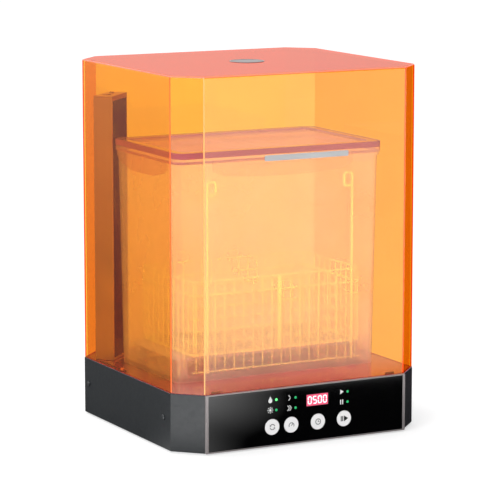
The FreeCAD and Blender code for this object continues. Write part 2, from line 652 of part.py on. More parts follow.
def leads():
    """Leads between the main board, the motor, the inlet and the lamp column."""
    low = MAIN_Z + D["board_gauge"].value + 4
    back = HALF_Y - D["sheet_gauge"] - INLET_LONG
    motor_route = [(70, 44, low), (40, 44, low), (0, 44, 28), (0, D["motor_radius"], 28)]
    inlet_route = [(119, 106, low), (119, 122, low), (D["inlet_x"], 128, D["rear_z"]),
                   (D["inlet_x"], back, D["rear_z"])]
    lamp_route = [(70, 86, low), (44, 86, low), (-30, 100, low), (D["column_x"] + 24, D["column_y"], low + 3),
                  (D["column_x"], D["column_y"], 45), (D["column_x"], D["column_y"], 96)]
    keep(pipe("motor_lead_solid", LEAD_RADIUS, motor_route, 8), "motor_lead")
    keep(pipe("inlet_lead_solid", LEAD_RADIUS, inlet_route, 5), "inlet_lead")
    keep(pipe("lamp_lead_solid", LEAD_RADIUS, lamp_route, 12), "lamp_lead")


# ---------------------------------------------------------------------------------------------
# deck fittings and lamp column
# ---------------------------------------------------------------------------------------------

LOCATOR_HALF, LOCATOR_DEEP, LOCATOR_TALL, LOCATOR_GAP = 6, 3, 2.5, 0.5
LOCATOR_SPOTS = [(-122, -1), (122, -1), (-60, 1), (122, 1)]
STRIP_BELOW, STRIP_PROUD, SENSOR_LONG, SENSOR_DEEP, SENSOR_WIDE = 1, 0.4, 20, 6, 6


def deck_fittings():
    edge = HALF_Y - D["cover_inset"] - D["cover_wall"] - LOCATOR_GAP
    pieces = []
    for x, sign in LOCATOR_SPOTS:
        low, high = ordered(edge * sign, (edge - LOCATOR_DEEP) * sign)
        pieces.append(block("locator", x - LOCATOR_HALF, x + LOCATOR_HALF, low, high, DECK_Z,
                            DECK_Z + LOCATOR_TALL))
    keep(group("locators", pieces), "cover_locators")
    strip_low = DECK_UNDER - STRIP_BELOW
    strip = block("sensor_strip", SLOT_X0, SLOT_X1, SLOT_Y0, SLOT_Y1, strip_low, DECK_Z + STRIP_PROUD)
    case = block("sensor_case", SLOT_X0, SLOT_X1 + SENSOR_WIDE, SLOT_Y0, SLOT_Y0 + SENSOR_LONG,
                 strip_low - SENSOR_DEEP, strip_low)
    keep(fuse("interlock_solid", [strip, case]), "interlock_sensor")


def on_column(item, name):
    """Move a piece from the column's own frame to the column's place, turned 45 degrees."""
    place(item, D["column_x"], D["column_y"], 0, (0, 0, 1), 45)
    keep(item, name)


COLUMN_FLOOR, WINDOW_HALF, WINDOW_LOW, WINDOW_BELOW_TOP, LENS_GAUGE = 2.5, 25, 78, 6.5, 1.5
PLUG_DEEP, VENT_RADIUS, VENT_ACROSS, CAP_SCREW_ACROSS, CAP_SCREW_BACK = 3, 9, -9, 13, 3
STRIP_HALF, STRIP_BEHIND, EMITTER_HALF, EMITTER_TALL = 20, 3.4, 2.5, 1.4
EMITTER_ROWS, EMITTER_PITCH, EMITTER_FIRST, EMITTER_ACROSS = 16, 20, 14, 8


def column():
    """The lamp faces local -Y, which points to the middle of the bucket."""
    wide, deep, wall = D["column_wide"] / 2, D["column_deep"] / 2, D["column_wall"]
    top, window_high = D["column_top"] - D["column_cap"], D["column_top"] - WINDOW_BELOW_TOP
    tube = block("column_block", -wide, wide, -deep, deep, DECK_Z, top)
    tools = [block("column_hollow", -wide + wall, wide - wall, -deep + wall, deep - wall,
                   DECK_Z + COLUMN_FLOOR, top),
             block("column_window", -WINDOW_HALF, WINDOW_HALF, -deep, -deep + wall, WINDOW_LOW, window_high),
             rod("column_lead_hole", LEAD_HOLE, COLUMN_FLOOR, 0, 0, DECK_Z)]
    for number, (across, inward) in enumerate(COLUMN_SCREWS):
        tools.append(rod(f"column_tap_{number}", D["screw_radius"], COLUMN_FLOOR, across, inward, DECK_Z))
    on_column(cut("column_cut", tube, tools), "column_housing")
    lid_plate = block("column_lid", -wide, wide, -deep, deep, top, D["column_top"])
    plug = block("column_plug", -wide + wall, wide - wall, -deep + wall, deep - wall, top - PLUG_DEEP, top)
    vent = doc.addObject("Part::Prism", "column_vent")
    vent.Polygon = 3
    bind(vent, "Circumradius", VENT_RADIUS)
    bind(vent, "Height", D["column_cap"] + PLUG_DEEP)
    place(vent, VENT_ACROSS, 0, top - PLUG_DEEP)
    tap = rod("cap_tap", D["screw_radius"], D["column_cap"] + PLUG_DEEP, CAP_SCREW_ACROSS, CAP_SCREW_BACK,
              top - PLUG_DEEP)
    on_column(cut("column_cap_cut", fuse("column_cap_solid", [lid_plate, plug]), [vent, tap]), "column_cap")
    board = -deep + wall + STRIP_BEHIND
    strip = block("lamp_strip", -STRIP_HALF, STRIP_HALF, board, board + D["board_gauge"], WINDOW_LOW,
                  window_high)
    on_column(group("lamp_strip_set", [strip]), "lamp_board")
    emitters = []
    for number in range(EMITTER_ROWS):
        z = WINDOW_LOW + EMITTER_FIRST + number * EMITTER_PITCH
        for across in (-EMITTER_ACROSS, EMITTER_ACROSS):
            emitters.append(block("emitter", across - EMITTER_HALF, across + EMITTER_HALF,
                                  board - EMITTER_TALL, board, z - EMITTER_HALF, z + EMITTER_HALF))
    on_column(group("emitters", emitters), "lamp_emitters")
    lens = block("lens_plate", -WINDOW_HALF, WINDOW_HALF, -deep, -deep + LENS_GAUGE, WINDOW_LOW, window_high)
    on_column(group("lens_plate_set", [lens]), "lamp_window")
    grip = D["sheet_gauge"] + COLUMN_FLOOR
    screws = [screw(f"column_screw_{number}", across, inward, DECK_UNDER, "z", -1, grip)
              for number, (across, inward) in enumerate(COLUMN_SCREWS)]
    screws.append(screw("cap_screw", CAP_SCREW_ACROSS, CAP_SCREW_BACK, D["column_top"], "z", 1, M3_SHORT))
    on_column(group("column_screw_set", screws), "column_screws")


# ---------------------------------------------------------------------------------------------
# cover
# ---------------------------------------------------------------------------------------------

MAGNET_THICK, MAGNET_LONG, MAGNET_BEHIND_SLOT, MAGNET_ABOVE_DECK = 3, 6, 4, 1


def cover():
    inset, wall = D["cover_inset"], D["cover_wall"]
    outer = octagon("cover_outer", inset, DECK_Z, D["cover_height"])
    top = D["cover_height"].value
    round_edges(outer, D["edge_round"], lambda edge: edge.BoundBox.ZMax > top - 0.01)
    inner = octagon("cover_inner", inset + wall, DECK_Z, D["cover_height"] - wall)
    keep(cut("cover_cut", outer, [inner]), "cover_shell")
    half, low, gauge, face = D["plate_half"], D["plate_low"], D["plate_gauge"], inset - HALF_Y
    keep(block("nameplate", -half, half, face - gauge, face, low, low + D["plate_tall"]), "cover_nameplate")
    keep(rod("badge", D["badge_radius"], gauge, 0, 0, DECK_Z + D["cover_height"]), "cover_badge")
    inside, near, low = inset + wall - HALF_X, SLOT_Y0 + MAGNET_BEHIND_SLOT, DECK_Z + MAGNET_ABOVE_DECK
    keep(block("cover_magnet_block", inside, inside + MAGNET_THICK, near, near + MAGNET_LONG, low,
               low + MAGNET_THICK), "cover_magnet")


# ---------------------------------------------------------------------------------------------
# bucket, guard plate and impeller
# ---------------------------------------------------------------------------------------------

RIM_Z = DECK_Z + D["bucket_height"]


def bucket():
    x, draft, wall, floor = D["bucket_x"], D["bucket_draft"], D["bucket_wall"], D["bucket_floor"]
    half_x, half_y, corner = D["bucket_half_x"], D["bucket_half_y"], D["bucket_corner"]
    tall = D["bucket_height"]
    outer = rounded_block("bucket_outer", half_x, half_y, corner, DECK_Z, tall, draft, x)
    rim = rounded_block("bucket_rim", D["rim_half_x"], D["rim_half_y"], D["lid_corner"],
                        RIM_Z - D["rim_gauge"], D["rim_gauge"], x=x)
    inner = rounded_block("bucket_inner", half_x - wall, half_y - wall, corner - wall, DECK_Z + floor,
                          tall - floor, draft, x)
    keep(cut("bucket_cut", fuse("bucket_solid", [outer, rim]), [inner]), "bucket_shell")


LEG_WIDE, LEG_IN = 10, 4
SLOT_ROWS, SLOT_PITCH, SLOT_HALF, SLOT_NEAR, SLOT_FAR = 4, 13, 3.5, 14, 108


def guard():
    """A slotted table over the impeller that stands on four legs."""
    top, low = D["guard_top"], D["guard_top"] - D["guard_gauge"]
    half_x, half_y = D["guard_half_x"], D["guard_half_y"]
    floor = DECK_Z + D["bucket_floor"]
    slab = rounded_block("guard_slab", half_x, half_y, 8, low, D["guard_gauge"])
    pieces = [slab]
    for sign_x in (-1, 1):
        for sign_y in (-1, 1):
            x0, x1 = ordered((half_x - LEG_IN - LEG_WIDE) * sign_x, (half_x - LEG_IN) * sign_x)
            y0, y1 = ordered((half_y - LEG_IN - LEG_WIDE) * sign_y, (half_y - LEG_IN) * sign_y)
            pieces.append(block("guard_leg", x0, x1, y0, y1, floor, low))
    slots = []
    for row in range(-SLOT_ROWS, SLOT_ROWS + 1):
        for side in (-1, 1):
            x0, x1 = ordered(SLOT_NEAR * side, SLOT_FAR * side)
            slots.append(block("guard_slot", x0, x1, SLOT_PITCH * row - SLOT_HALF,
                               SLOT_PITCH * row + SLOT_HALF, low, top))
    keep(cut("guard_cut", fuse("guard_solid", pieces), slots), "impeller_guard")


PIN_LONG, FLOOR_GAP, DISC_TALL, HUB_RADIUS, HUB_TALL = 16, 1, 6, 8, 13
BLADES, BLADE_HALF, BLADE_TALL = 6, 1.5, 12


def impeller():
    floor = DECK_Z + D["bucket_floor"]
    keep(rod("pin", D["pin_radius"], PIN_LONG, 0, 0, floor), "impeller_pin")
    low = floor + FLOOR_GAP
    disc = rod("impeller_disc", D["impeller_radius"], DISC_TALL, 0, 0, low)
    hub = rod("impeller_hub", HUB_RADIUS, HUB_TALL, 0, 0, low)
    blades = []
    for number in range(BLADES):
        blade = block("blade", HUB_RADIUS - 2, D["impeller_radius"] - 1, -BLADE_HALF, BLADE_HALF, low,
                      low + BLADE_TALL)
        turned = group("turned_blade", [blade])
        blades.append(place(turned, 0, 0, 0, (0, 0, 1), (number + 0.5) * 360 / BLADES))
    solid = fuse("impeller_solid", [disc, hub] + blades)
    bore = rod("impeller_bore", D["pin_radius"] + D["running_gap"], HUB_TALL, 0, 0, low)
    keep(cut("impeller_cut", solid, [bore] + magnet_ring("impeller_pocket", low)), "impeller")
    keep(group("impeller_magnet_set", magnet_ring("impeller_magnet", low)), "impeller_magnets")


# ---------------------------------------------------------------------------------------------
# basket
# ---------------------------------------------------------------------------------------------

MESH_PITCH, CROSS_PITCH = 13.5, 14
RAIL_PAST = 3
LOOP_WIDE, LOOP_TALL, STRAP_HALF, STRAP_GAUGE = 15, 20, 2.2, 2.5


def spread(low, high, pitch):
    """Even wire centres between two limits, near the wanted pitch."""
    low, high = Size.of(low), Size.of(high)
    count = max(1, round((high.value - low.value) / pitch))
    return [low + (high - low) * (number / count) for number in range(count + 1)]


def mesh_wall(name, side, low_z, length_half, outer, inner_sign):
    """Upright wires with cross wires welded to their inner side; side is the wall's running axis."""
    wire, weld = D["mesh_wire"], D["mesh_weld"]
    near = outer if inner_sign > 0 else outer - wire
    cross = outer + wire - weld if inner_sign > 0 else outer - wire * 2 + weld
    top = D["basket_rim_z"] + D["rail_wire"]

    def wire_block(label, along0, along1, across, z0, z1):
        if side == "x":
            return block(label, along0, along1, across, across + wire, z0, z1)
        return block(label, across, across + wire, along0, along1, z0, z1)

    pieces = []
    middle = D["basket_x"] if side == "x" else Size.of(0)
    for centre in spread(middle - length_half + wire / 2, middle + length_half - wire / 2, MESH_PITCH):
        pieces.append(wire_block("upright", centre - wire / 2, centre + wire / 2, near, low_z, top))
    for level in spread(D["basket_floor_z"] + wire / 2, D["basket_mid_z"] + wire / 2, CROSS_PITCH):
        pieces.append(wire_block("cross_wire", middle - length_half, middle + length_half, cross,
                                 level - wire / 2, level + wire / 2))
    keep(fuse(name + "_mesh", pieces), name)


def ring(name, z, tall):
    """A rectangular hoop outside the basket walls."""
    x, half_x, half_y, wire = D["basket_x"], D["basket_half_x"], D["basket_half_y"], D["rail_wire"]
    outer = block(name + "_outer", x - half_x - wire, x + half_x + wire, -half_y - wire, half_y + wire, z,
                  z + tall)
    inner = block(name + "_inner", x - half_x, x + half_x, -half_y, half_y, z, z + tall)
    return cut(name, outer, [inner])


def basket():
    x, half_x, half_y, wire = D["basket_x"], D["basket_half_x"], D["basket_half_y"], D["mesh_wire"]
    reach = wire * 2 - D["mesh_weld"]
    mesh_wall("basket_front", "x", D["basket_foot_z"], half_x - reach, -half_y, 1)
    mesh_wall("basket_rear", "x", D["basket_foot_z"], half_x - reach, half_y, -1)
    mesh_wall("basket_left", "y", D["basket_floor_z"], half_y, x - half_x, 1)
    mesh_wall("basket_right", "y", D["basket_floor_z"], half_y, x + half_x, -1)
    floor_z = D["basket_floor_z"]
    in_x, in_y = half_x - reach, half_y - reach
    wires = []
    for centre in spread(x - in_x + wire / 2, x + in_x - wire / 2, MESH_PITCH):
        wires.append(block("floor_wire", centre - wire / 2, centre + wire / 2, -in_y, in_y, floor_z,
                           floor_z + wire))
    for centre in spread(-in_y + wire / 2, in_y - wire / 2, MESH_PITCH):
        wires.append(block("floor_wire", x - in_x, x + in_x, centre - wire / 2, centre + wire / 2,
                           floor_z + wire - D["mesh_weld"], floor_z + wire * 2 - D["mesh_weld"]))
    keep(fuse("basket_floor_mesh", wires), "basket_floor")
    rail = D["rail_wire"]
    rails = [ring("rim_ring", D["basket_rim_z"], rail), ring("mid_ring", D["basket_mid_z"], rail * 0.8),
             ring("floor_ring", floor_z, rail)]
    low = D["basket_foot_z"]
    for sign in (-1, 1):
        y0, y1 = ordered(half_y * sign, (half_y + rail) * sign)
        rails.append(block("foot_rail", x - half_x - RAIL_PAST, x + half_x, y0, y1, low, low + rail))
    keep(group("basket_rail_set", rails), "basket_rails")


def basket_posts():
    """Two lifting posts with finger loops turned inward, and the short strap between them."""
    front = -D["basket_half_y"] - D["rail_wire"]
    wire, top = D["post_wire"], D["post_top"]
    posts = []
    for name, x, sign in (("left", D["left_post_x"], 1), ("right", D["right_post_x"], -1)):
        x0, x1 = x - wire / 2, x + wire / 2
        stem = block(f"{name}_stem", x0, x1, front - wire, front, D["basket_foot_z"], top)
        loop0, loop1 = (x0, x0 + LOOP_WIDE) if sign > 0 else (x1 - LOOP_WIDE, x1)
        loop = block(f"{name}_loop", loop0, loop1, front - wire, front, top - LOOP_TALL, top)
        hole = block(f"{name}_finger", loop0 + wire, loop1 - wire, front - wire, front,
                     top - LOOP_TALL + wire, top - wire)
        posts.append(cut(f"{name}_post", fuse(f"{name}_solid", [stem, loop]), [hole]))
    x = D["strap_x"]
    posts.append(block("strap", x - STRAP_HALF, x + STRAP_HALF, front - STRAP_GAUGE, front,
                       D["basket_floor_z"], D["basket_rim_z"] + D["rail_wire"]))
    keep(group("post_set", posts), "basket_posts")


# ---------------------------------------------------------------------------------------------
# lid and latches
# ---------------------------------------------------------------------------------------------

LID_Z = RIM_Z + D["lid_gap"]
HINGE_Z = LID_Z + 1.5
GASKET_HALF_X, GASKET_HALF_Y, GASKET_WIDE, GASKET_TALL, GASKET_CORNER = 144.2, 88.5, 2.4, 2.4, 11.9
SQUASH_GAP, GROOVE_GAP, GROOVE_TALL = 0.1, 0.1, 2.1
UNDER_HALF_X, UNDER_HALF_Y, UNDER_DEEP = 140.2, 84.6, 6
TRAY_HALF_X, TRAY_HALF_Y, TRAY_DEEP = 132.2, 81, 2.5
RIB_ROWS, RIB_PITCH, RIB_HALF, RIB_LONG, RIB_TALL = 6, 12, 0.8, 124, 1.2


def hoop(name, half_x, half_y, corner, wide, z, tall):
    """A rounded rectangular ring about the bucket's middle, wide from its outer to its inner side."""
    x = D["bucket_x"]
    outside = rounded_block(name + "_out", half_x, half_y, corner, z, tall, x=x)
    inside = rounded_block(name + "_in", half_x - wide, half_y - wide, corner - wide, z, tall, x=x)
    return cut(name, outside, [inside])


def lid():
    """The lid with its tray and ribs, the seal under its edge, and the band in the rebate round its top."""
    x, half_x, half_y, corner = D["bucket_x"], D["lid_half_x"], D["lid_half_y"], D["lid_corner"]
    top, wide, tall = LID_Z + D["lid_tall"], D["band_wide"], D["band_tall"]
    slab = rounded_block("lid_slab", half_x, half_y, corner, LID_Z, D["lid_tall"], x=x)
    under = rounded_block("lid_under", UNDER_HALF_X, UNDER_HALF_Y, 10, LID_Z, UNDER_DEEP, x=x)
    tray = rounded_block("lid_tray", TRAY_HALF_X, TRAY_HALF_Y, 9, top - TRAY_DEEP, TRAY_DEEP, x=x)
    groove = hoop("groove", GASKET_HALF_X + GROOVE_GAP, GASKET_HALF_Y + GROOVE_GAP, GASKET_CORNER,
                  GASKET_WIDE + 2 * GROOVE_GAP, LID_Z, GROOVE_TALL)
    rebate = hoop("rebate", half_x, half_y, corner, wide + HOLE_GAP, top - tall - HOLE_GAP, tall + HOLE_GAP)
    shell = cut("lid_shell", slab, [under, tray, groove, rebate])
    floor = top - TRAY_DEEP
    ribs = [block("lid_rib", x - RIB_LONG, x + RIB_LONG, RIB_PITCH * row - RIB_HALF,
                  RIB_PITCH * row + RIB_HALF, floor, floor + RIB_TALL)
            for row in range(-RIB_ROWS, RIB_ROWS + 1)]
    keep(fuse("lid_solid", [shell] + ribs), "lid_panel")
    gasket = hoop("gasket", GASKET_HALF_X, GASKET_HALF_Y, GASKET_CORNER, GASKET_WIDE, RIM_Z + SQUASH_GAP,
                  GASKET_TALL)
    band = hoop("band", half_x, half_y, corner, wide, top - tall, tall)
    keep(group("lid_seals", [gasket, band]), "lid_gasket")


# name, turn about Z, lid edge and rim edge from the centre, and the lower edge of the right half of the flap
# as distance from the middle and height above the flap's lowest line
LONG_FLAP = [(98, 9.5), (82, 3.4), (30, 0)]
SHORT_FLAP = [(72, 14), (60, 6.4), (30, 0)]
LATCHES = [("front", 0, "lid_half_y", "rim_half_y", LONG_FLAP),
           ("right", 90, "lid_half_x", "rim_half_x", SHORT_FLAP),
           ("rear", 180, "lid_half_y", "rim_half_y", LONG_FLAP),
           ("left", 270, "lid_half_x", "rim_half_x", SHORT_FLAP)]
HOOK_SHARE, HOOK_TALL, HOOK_BELOW_RIM, HOOK_ROOT = 0.6, 3, 0.8, 0.2


def latches():
    """Snap flaps, each built as the front one and turned to its side."""
    bead, gauge, gap = D["latch_bead"], D["latch_gauge"], D["latch_gap"]
    for name, turn, lid_key, rim_key, lower_edge in LATCHES:
        axis_y = -(D[lid_key] + gap + bead)
        half = lower_edge[0][0]
        right_edge = [(x, up - D["latch_drop"]) for x, up in lower_edge]
        left_edge = [(-x, height) for x, height in reversed(right_edge)]
        flap = pad(f"{name}_flap", "XZ_Plane", [(-half, 0), (half, 0)] + right_edge + left_edge, gauge)
        place(flap, 0, axis_y + gauge / 2, HINGE_Z)
        knuckle = rod(f"{name}_knuckle", bead, 2 * half, -half, axis_y, HINGE_Z, along="x")
        hook_top = RIM_Z - D["rim_gauge"] - HOOK_BELOW_RIM
        hook = block(f"{name}_hook", -half * HOOK_SHARE, half * HOOK_SHARE, axis_y + gauge / 2 - HOOK_ROOT,
                     -(D[rim_key] + gap), hook_top - HOOK_TALL, hook_top)
        solid = fuse(f"latch_{name}_solid", [flap, knuckle, hook])
        place(solid, D["bucket_x"], 0, 0, (0, 0, 1), turn)
        keep(solid, f"latch_{name}")


# ---------------------------------------------------------------------------------------------
# build, check and write
# ---------------------------------------------------------------------------------------------

def build():
    housing()
    bottom()
    feet()
    side_screws()
    front_trim()
    front_panel()
    control_board()
    display()
    lamps()
    switches()
    buttons()
    internal_screws(main_board())
    board_components()
    motor()
    bridge()
    rotor()
    rear_connections()
    rocker()
    leads()
    deck_fittings()
    column()
    cover()
    bucket()
    guard()
    impeller()
    basket()
    basket_posts()
    lid()
    latches()
    doc.recompute()


def check():
    """Stop if any object failed or any sub-part has no sound shape."""
    for item in doc.Objects:
        if "Invalid" in item.State or "Error" in item.State:
            raise RuntimeError(f"{item.Name} failed: {item.State}")
    for item in PARTS:
        if item.Shape.isNull() or not item.Shape.isValid() or not item.Shape.Solids:
            raise RuntimeError(f"{item.Label} has no valid solid")


def write():
    os.makedirs("parts", exist_ok=True)
    for item in PARTS:
        item.Shape.exportStep(f"parts/{item.Label}.step")
        box = item.Shape.BoundBox
        print(f"{item.Label:18s} solids {len(item.Shape.Solids):3d}  volume {item.Shape.Volume:12.1f}  "
              f"x {box.XMin:7.1f} {box.XMax:7.1f}  y {box.YMin:7.1f} {box.YMax:7.1f}  "
              f"z {box.ZMin:6.1f} {box.ZMax:6.1f}")
    print(len(PARTS), "sub-parts")


build()
check()
write()
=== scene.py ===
"""Looks of the wash-and-cure station: amber cover, clear rinse bucket with its wire basket, lamp column and
the dark sheet-metal base with its front panel.  Metres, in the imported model's own frame."""

import json
import math

import bmesh
import bpy
from mathutils import Matrix, Vector

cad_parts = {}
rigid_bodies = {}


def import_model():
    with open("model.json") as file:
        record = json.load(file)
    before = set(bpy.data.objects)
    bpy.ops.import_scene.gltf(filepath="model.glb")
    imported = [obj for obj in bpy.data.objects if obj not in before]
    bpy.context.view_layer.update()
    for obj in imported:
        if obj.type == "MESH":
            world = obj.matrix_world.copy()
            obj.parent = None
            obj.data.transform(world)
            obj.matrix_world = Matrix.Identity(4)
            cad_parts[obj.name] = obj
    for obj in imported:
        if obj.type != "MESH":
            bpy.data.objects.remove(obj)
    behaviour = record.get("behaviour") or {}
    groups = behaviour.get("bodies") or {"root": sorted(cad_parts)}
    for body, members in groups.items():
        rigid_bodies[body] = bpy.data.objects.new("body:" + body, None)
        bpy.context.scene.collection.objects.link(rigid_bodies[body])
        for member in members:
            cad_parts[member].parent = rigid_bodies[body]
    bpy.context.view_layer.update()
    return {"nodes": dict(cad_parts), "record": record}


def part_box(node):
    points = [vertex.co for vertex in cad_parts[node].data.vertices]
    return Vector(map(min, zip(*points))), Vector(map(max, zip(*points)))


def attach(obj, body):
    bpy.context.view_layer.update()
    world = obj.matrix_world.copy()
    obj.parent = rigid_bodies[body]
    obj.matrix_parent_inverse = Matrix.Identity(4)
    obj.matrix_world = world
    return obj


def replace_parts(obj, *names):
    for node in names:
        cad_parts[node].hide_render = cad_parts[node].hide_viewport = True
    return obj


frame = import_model()
NODES = frame["nodes"]
MM = 0.001


# ---------------------------------------------------------------------------------------------
# node-tree helpers
# ---------------------------------------------------------------------------------------------

def add_node(tree, kind, inputs=None, **settings):
    """A new node: a socket given as an input is linked, anything else is set on the input."""
    node = tree.nodes.new(kind)
    for key, value in settings.items():
        setattr(node, key, value)
    for key, value in (inputs or {}).items():
        socket = node.inputs[key]
        if isinstance(value, bpy.types.NodeSocket):
            tree.links.new(value, socket)
        else:
            socket.default_value = value
    return node


class Tree:
    """The shader nodes of one material, or of the world."""

    def __init__(self, owner):
        owner.use_nodes = True
        self.tree = owner.node_tree
        self.tree.nodes.clear()

    def add(self, kind, inputs=None, **settings):
        return add_node(self.tree, kind, inputs, **settings)

    def math(self, operation, first, second):
        return self.add("ShaderNodeMath", {0: first, 1: second}, operation=operation).outputs[0]

    def place(self):
        """Object coordinates: metres in the model's frame, because every object sits at the origin."""
        return self.add("ShaderNodeTexCoord").outputs["Object"]

    def noise(self, scale, detail=3.0, roughness=0.5, stretch=None):
        where = self.place()
        if stretch is not None:
            where = self.add("ShaderNodeMapping", {"Vector": where, "Scale": stretch}).outputs[0]
        return self.add("ShaderNodeTexNoise", {"Vector": where, "Scale": scale, "Detail": detail,
                                               "Roughness": roughness}).outputs["Fac"]

    def ramp(self, value, start, end, low=0.0, high=1.0):
        """A number that runs from low to high while the value runs from start to end."""
        span = {"Value": value, "From Min": start, "From Max": end, "To Min": low, "To Max": high}
        return self.add("ShaderNodeMapRange", span).outputs[0]

    def between(self, factor, low, high):
        """A number that runs from low to high over the usual span of a noise."""
        return self.ramp(factor, 0.3, 0.7, low, high)

    def mixed(self, factor, first, second):
        """A colour between two, each four numbers or a link."""
        mix = self.add("ShaderNodeMix", {"Factor": factor}, data_type="RGBA")
        for socket, colour in ((mix.inputs[6], first), (mix.inputs[7], second)):
            if isinstance(colour, bpy.types.NodeSocket):
                self.tree.links.new(colour, socket)
            else:
                socket.default_value = colour
        return mix.outputs[2]

    def tones(self, factor, dark, light):
        """A colour between two tones."""
        return self.mixed(factor, (*dark, 1), (*light, 1))

    def upward(self):
        """One on faces that look up, nothing on the others."""
        normal = self.add("ShaderNodeNewGeometry").outputs["Normal"]
        height = self.add("ShaderNodeSeparateXYZ", {0: normal}).outputs["Z"]
        return self.ramp(height, 0.8, 0.95)

    def bump(self, height, distance):
        return self.add("ShaderNodeBump", {"Height": height, "Distance": distance}).outputs[0]

    def finish(self, shader, world=False):
        kind = "ShaderNodeOutputWorld" if world else "ShaderNodeOutputMaterial"
        self.add(kind, {"Surface": shader})


def linear(red, green, blue):
    """A colour given in 0-255 display values, as linear light."""
    return tuple(v / 12.92 if v <= 0.04045 else ((v + 0.055) / 1.055) ** 2.4
                 for v in (red / 255, green / 255, blue / 255))


def scaled(colour, amount):
    return tuple(min(1.0, channel * amount) for channel in colour)


# ---------------------------------------------------------------------------------------------
# materials
# ---------------------------------------------------------------------------------------------

def solid(name, colour, spread, grain, grain_depth, rough, metallic=0.0, coat=0.0, stretch=None, cloud=9.0):
    """A moulded, coated or machined surface: cloudy tone, fine grain bump and uneven gloss."""
    material = bpy.data.materials.new(name)
    tree = Tree(material)
    tone = tree.between(tree.noise(cloud, 4.0), 0.0, 1.0)
    fine = tree.noise(grain, 2.0, 0.6, stretch)
    shade = tree.tones(tone, scaled(colour, 1 - spread), scaled(colour, 1 + spread))
    gloss = tree.between(tree.noise(grain / 14, 3.0), *rough)
    shader = tree.add("ShaderNodeBsdfPrincipled", {
        "Base Color": shade, "Roughness": gloss, "Metallic": metallic, "Coat Weight": coat,
        "Coat Roughness": 0.04, "Normal": tree.bump(fine, grain_depth)})
    tree.finish(shader.outputs[0])
    return material


DECK_COAT = 0.4


def powder_coat():
    """Dark textured coat; the faces that look up are smoother and clear-coated, and take a lighter pinkish
    tone painted in for the glow they get from the bucket and the amber cover.
    """
    material = bpy.data.materials.new("powder_coat")
    tree = Tree(material)
    deck = tree.upward()
    cloud = tree.between(tree.noise(9.0, 4.0), 0.0, 1.0)
    coat = tree.tones(cloud, (0.011, 0.0135, 0.016), (0.013, 0.016, 0.0185))
    # painted light: the upward faces take a lighter pinkish tone for the glow of the bucket and the amber
    # cover above them
    shade = tree.mixed(deck, coat, tree.tones(cloud, (0.026, 0.015, 0.020), (0.030, 0.017, 0.023)))
    satin = tree.between(tree.noise(190.0, 3.0), 0.36, 0.46)
    gloss = tree.add("ShaderNodeMix", {"Factor": deck, 2: satin, 3: 0.13}).outputs[0]
    grain = tree.math("MULTIPLY", tree.noise(2600.0, 2.0, 0.6), tree.math("SUBTRACT", 1.0, deck))
    shader = tree.add("ShaderNodeBsdfPrincipled", {
        "Base Color": shade, "Roughness": gloss, "Coat Weight": tree.math("MULTIPLY", deck, DECK_COAT),
        "Coat Roughness": 0.1, "Normal": tree.bump(grain, 0.00005)})
    tree.finish(shader.outputs[0])
    return material


def lit(name, colour, strength, glow):
    """A lit plastic face: body colour with its own light, a little uneven."""
    material = bpy.data.materials.new(name)
    tree = Tree(material)
    tone = tree.between(tree.noise(240.0, 2.0), 0.0, 1.0)
    shade = tree.tones(tone, scaled(glow, 0.85), glow)
    shader = tree.add("ShaderNodeBsdfPrincipled", {
        "Base Color": (*colour, 1), "Roughness": tree.between(tree.noise(700.0), 0.2, 0.35),
        "Emission Color": shade, "Emission Strength": strength})
    tree.finish(shader.outputs[0])
    return material


def path_tint(tree, tint, reach, power):
    """What a tinted sheet lets through: the slanted way through it is longer, so its colour is deeper."""
    facing = tree.add("ShaderNodeLayerWeight", {"Blend": 0.5}).outputs["Facing"]
    cosine = tree.math("MAXIMUM", tree.math("SUBTRACT", 1.0, facing), 0.05)
    exponent = tree.math("MULTIPLY", tree.math("POWER", cosine, -power), reach)
    channels = [tree.math("POWER", value, exponent) for value in tint]
    return tree.add("ShaderNodeCombineColor", {0: channels[0], 1: channels[1], 2: channels[2]}).outputs[0]


SHEET_IOR = 1.49
# the slants between which a mirror takes its painted glancing reflection colour, and the heights over which
# the haze thins
STEEP_FROM, STEEP_TO = 0.60, 0.68
HAZE_LOW, HAZE_HIGH = 0.10, 0.17


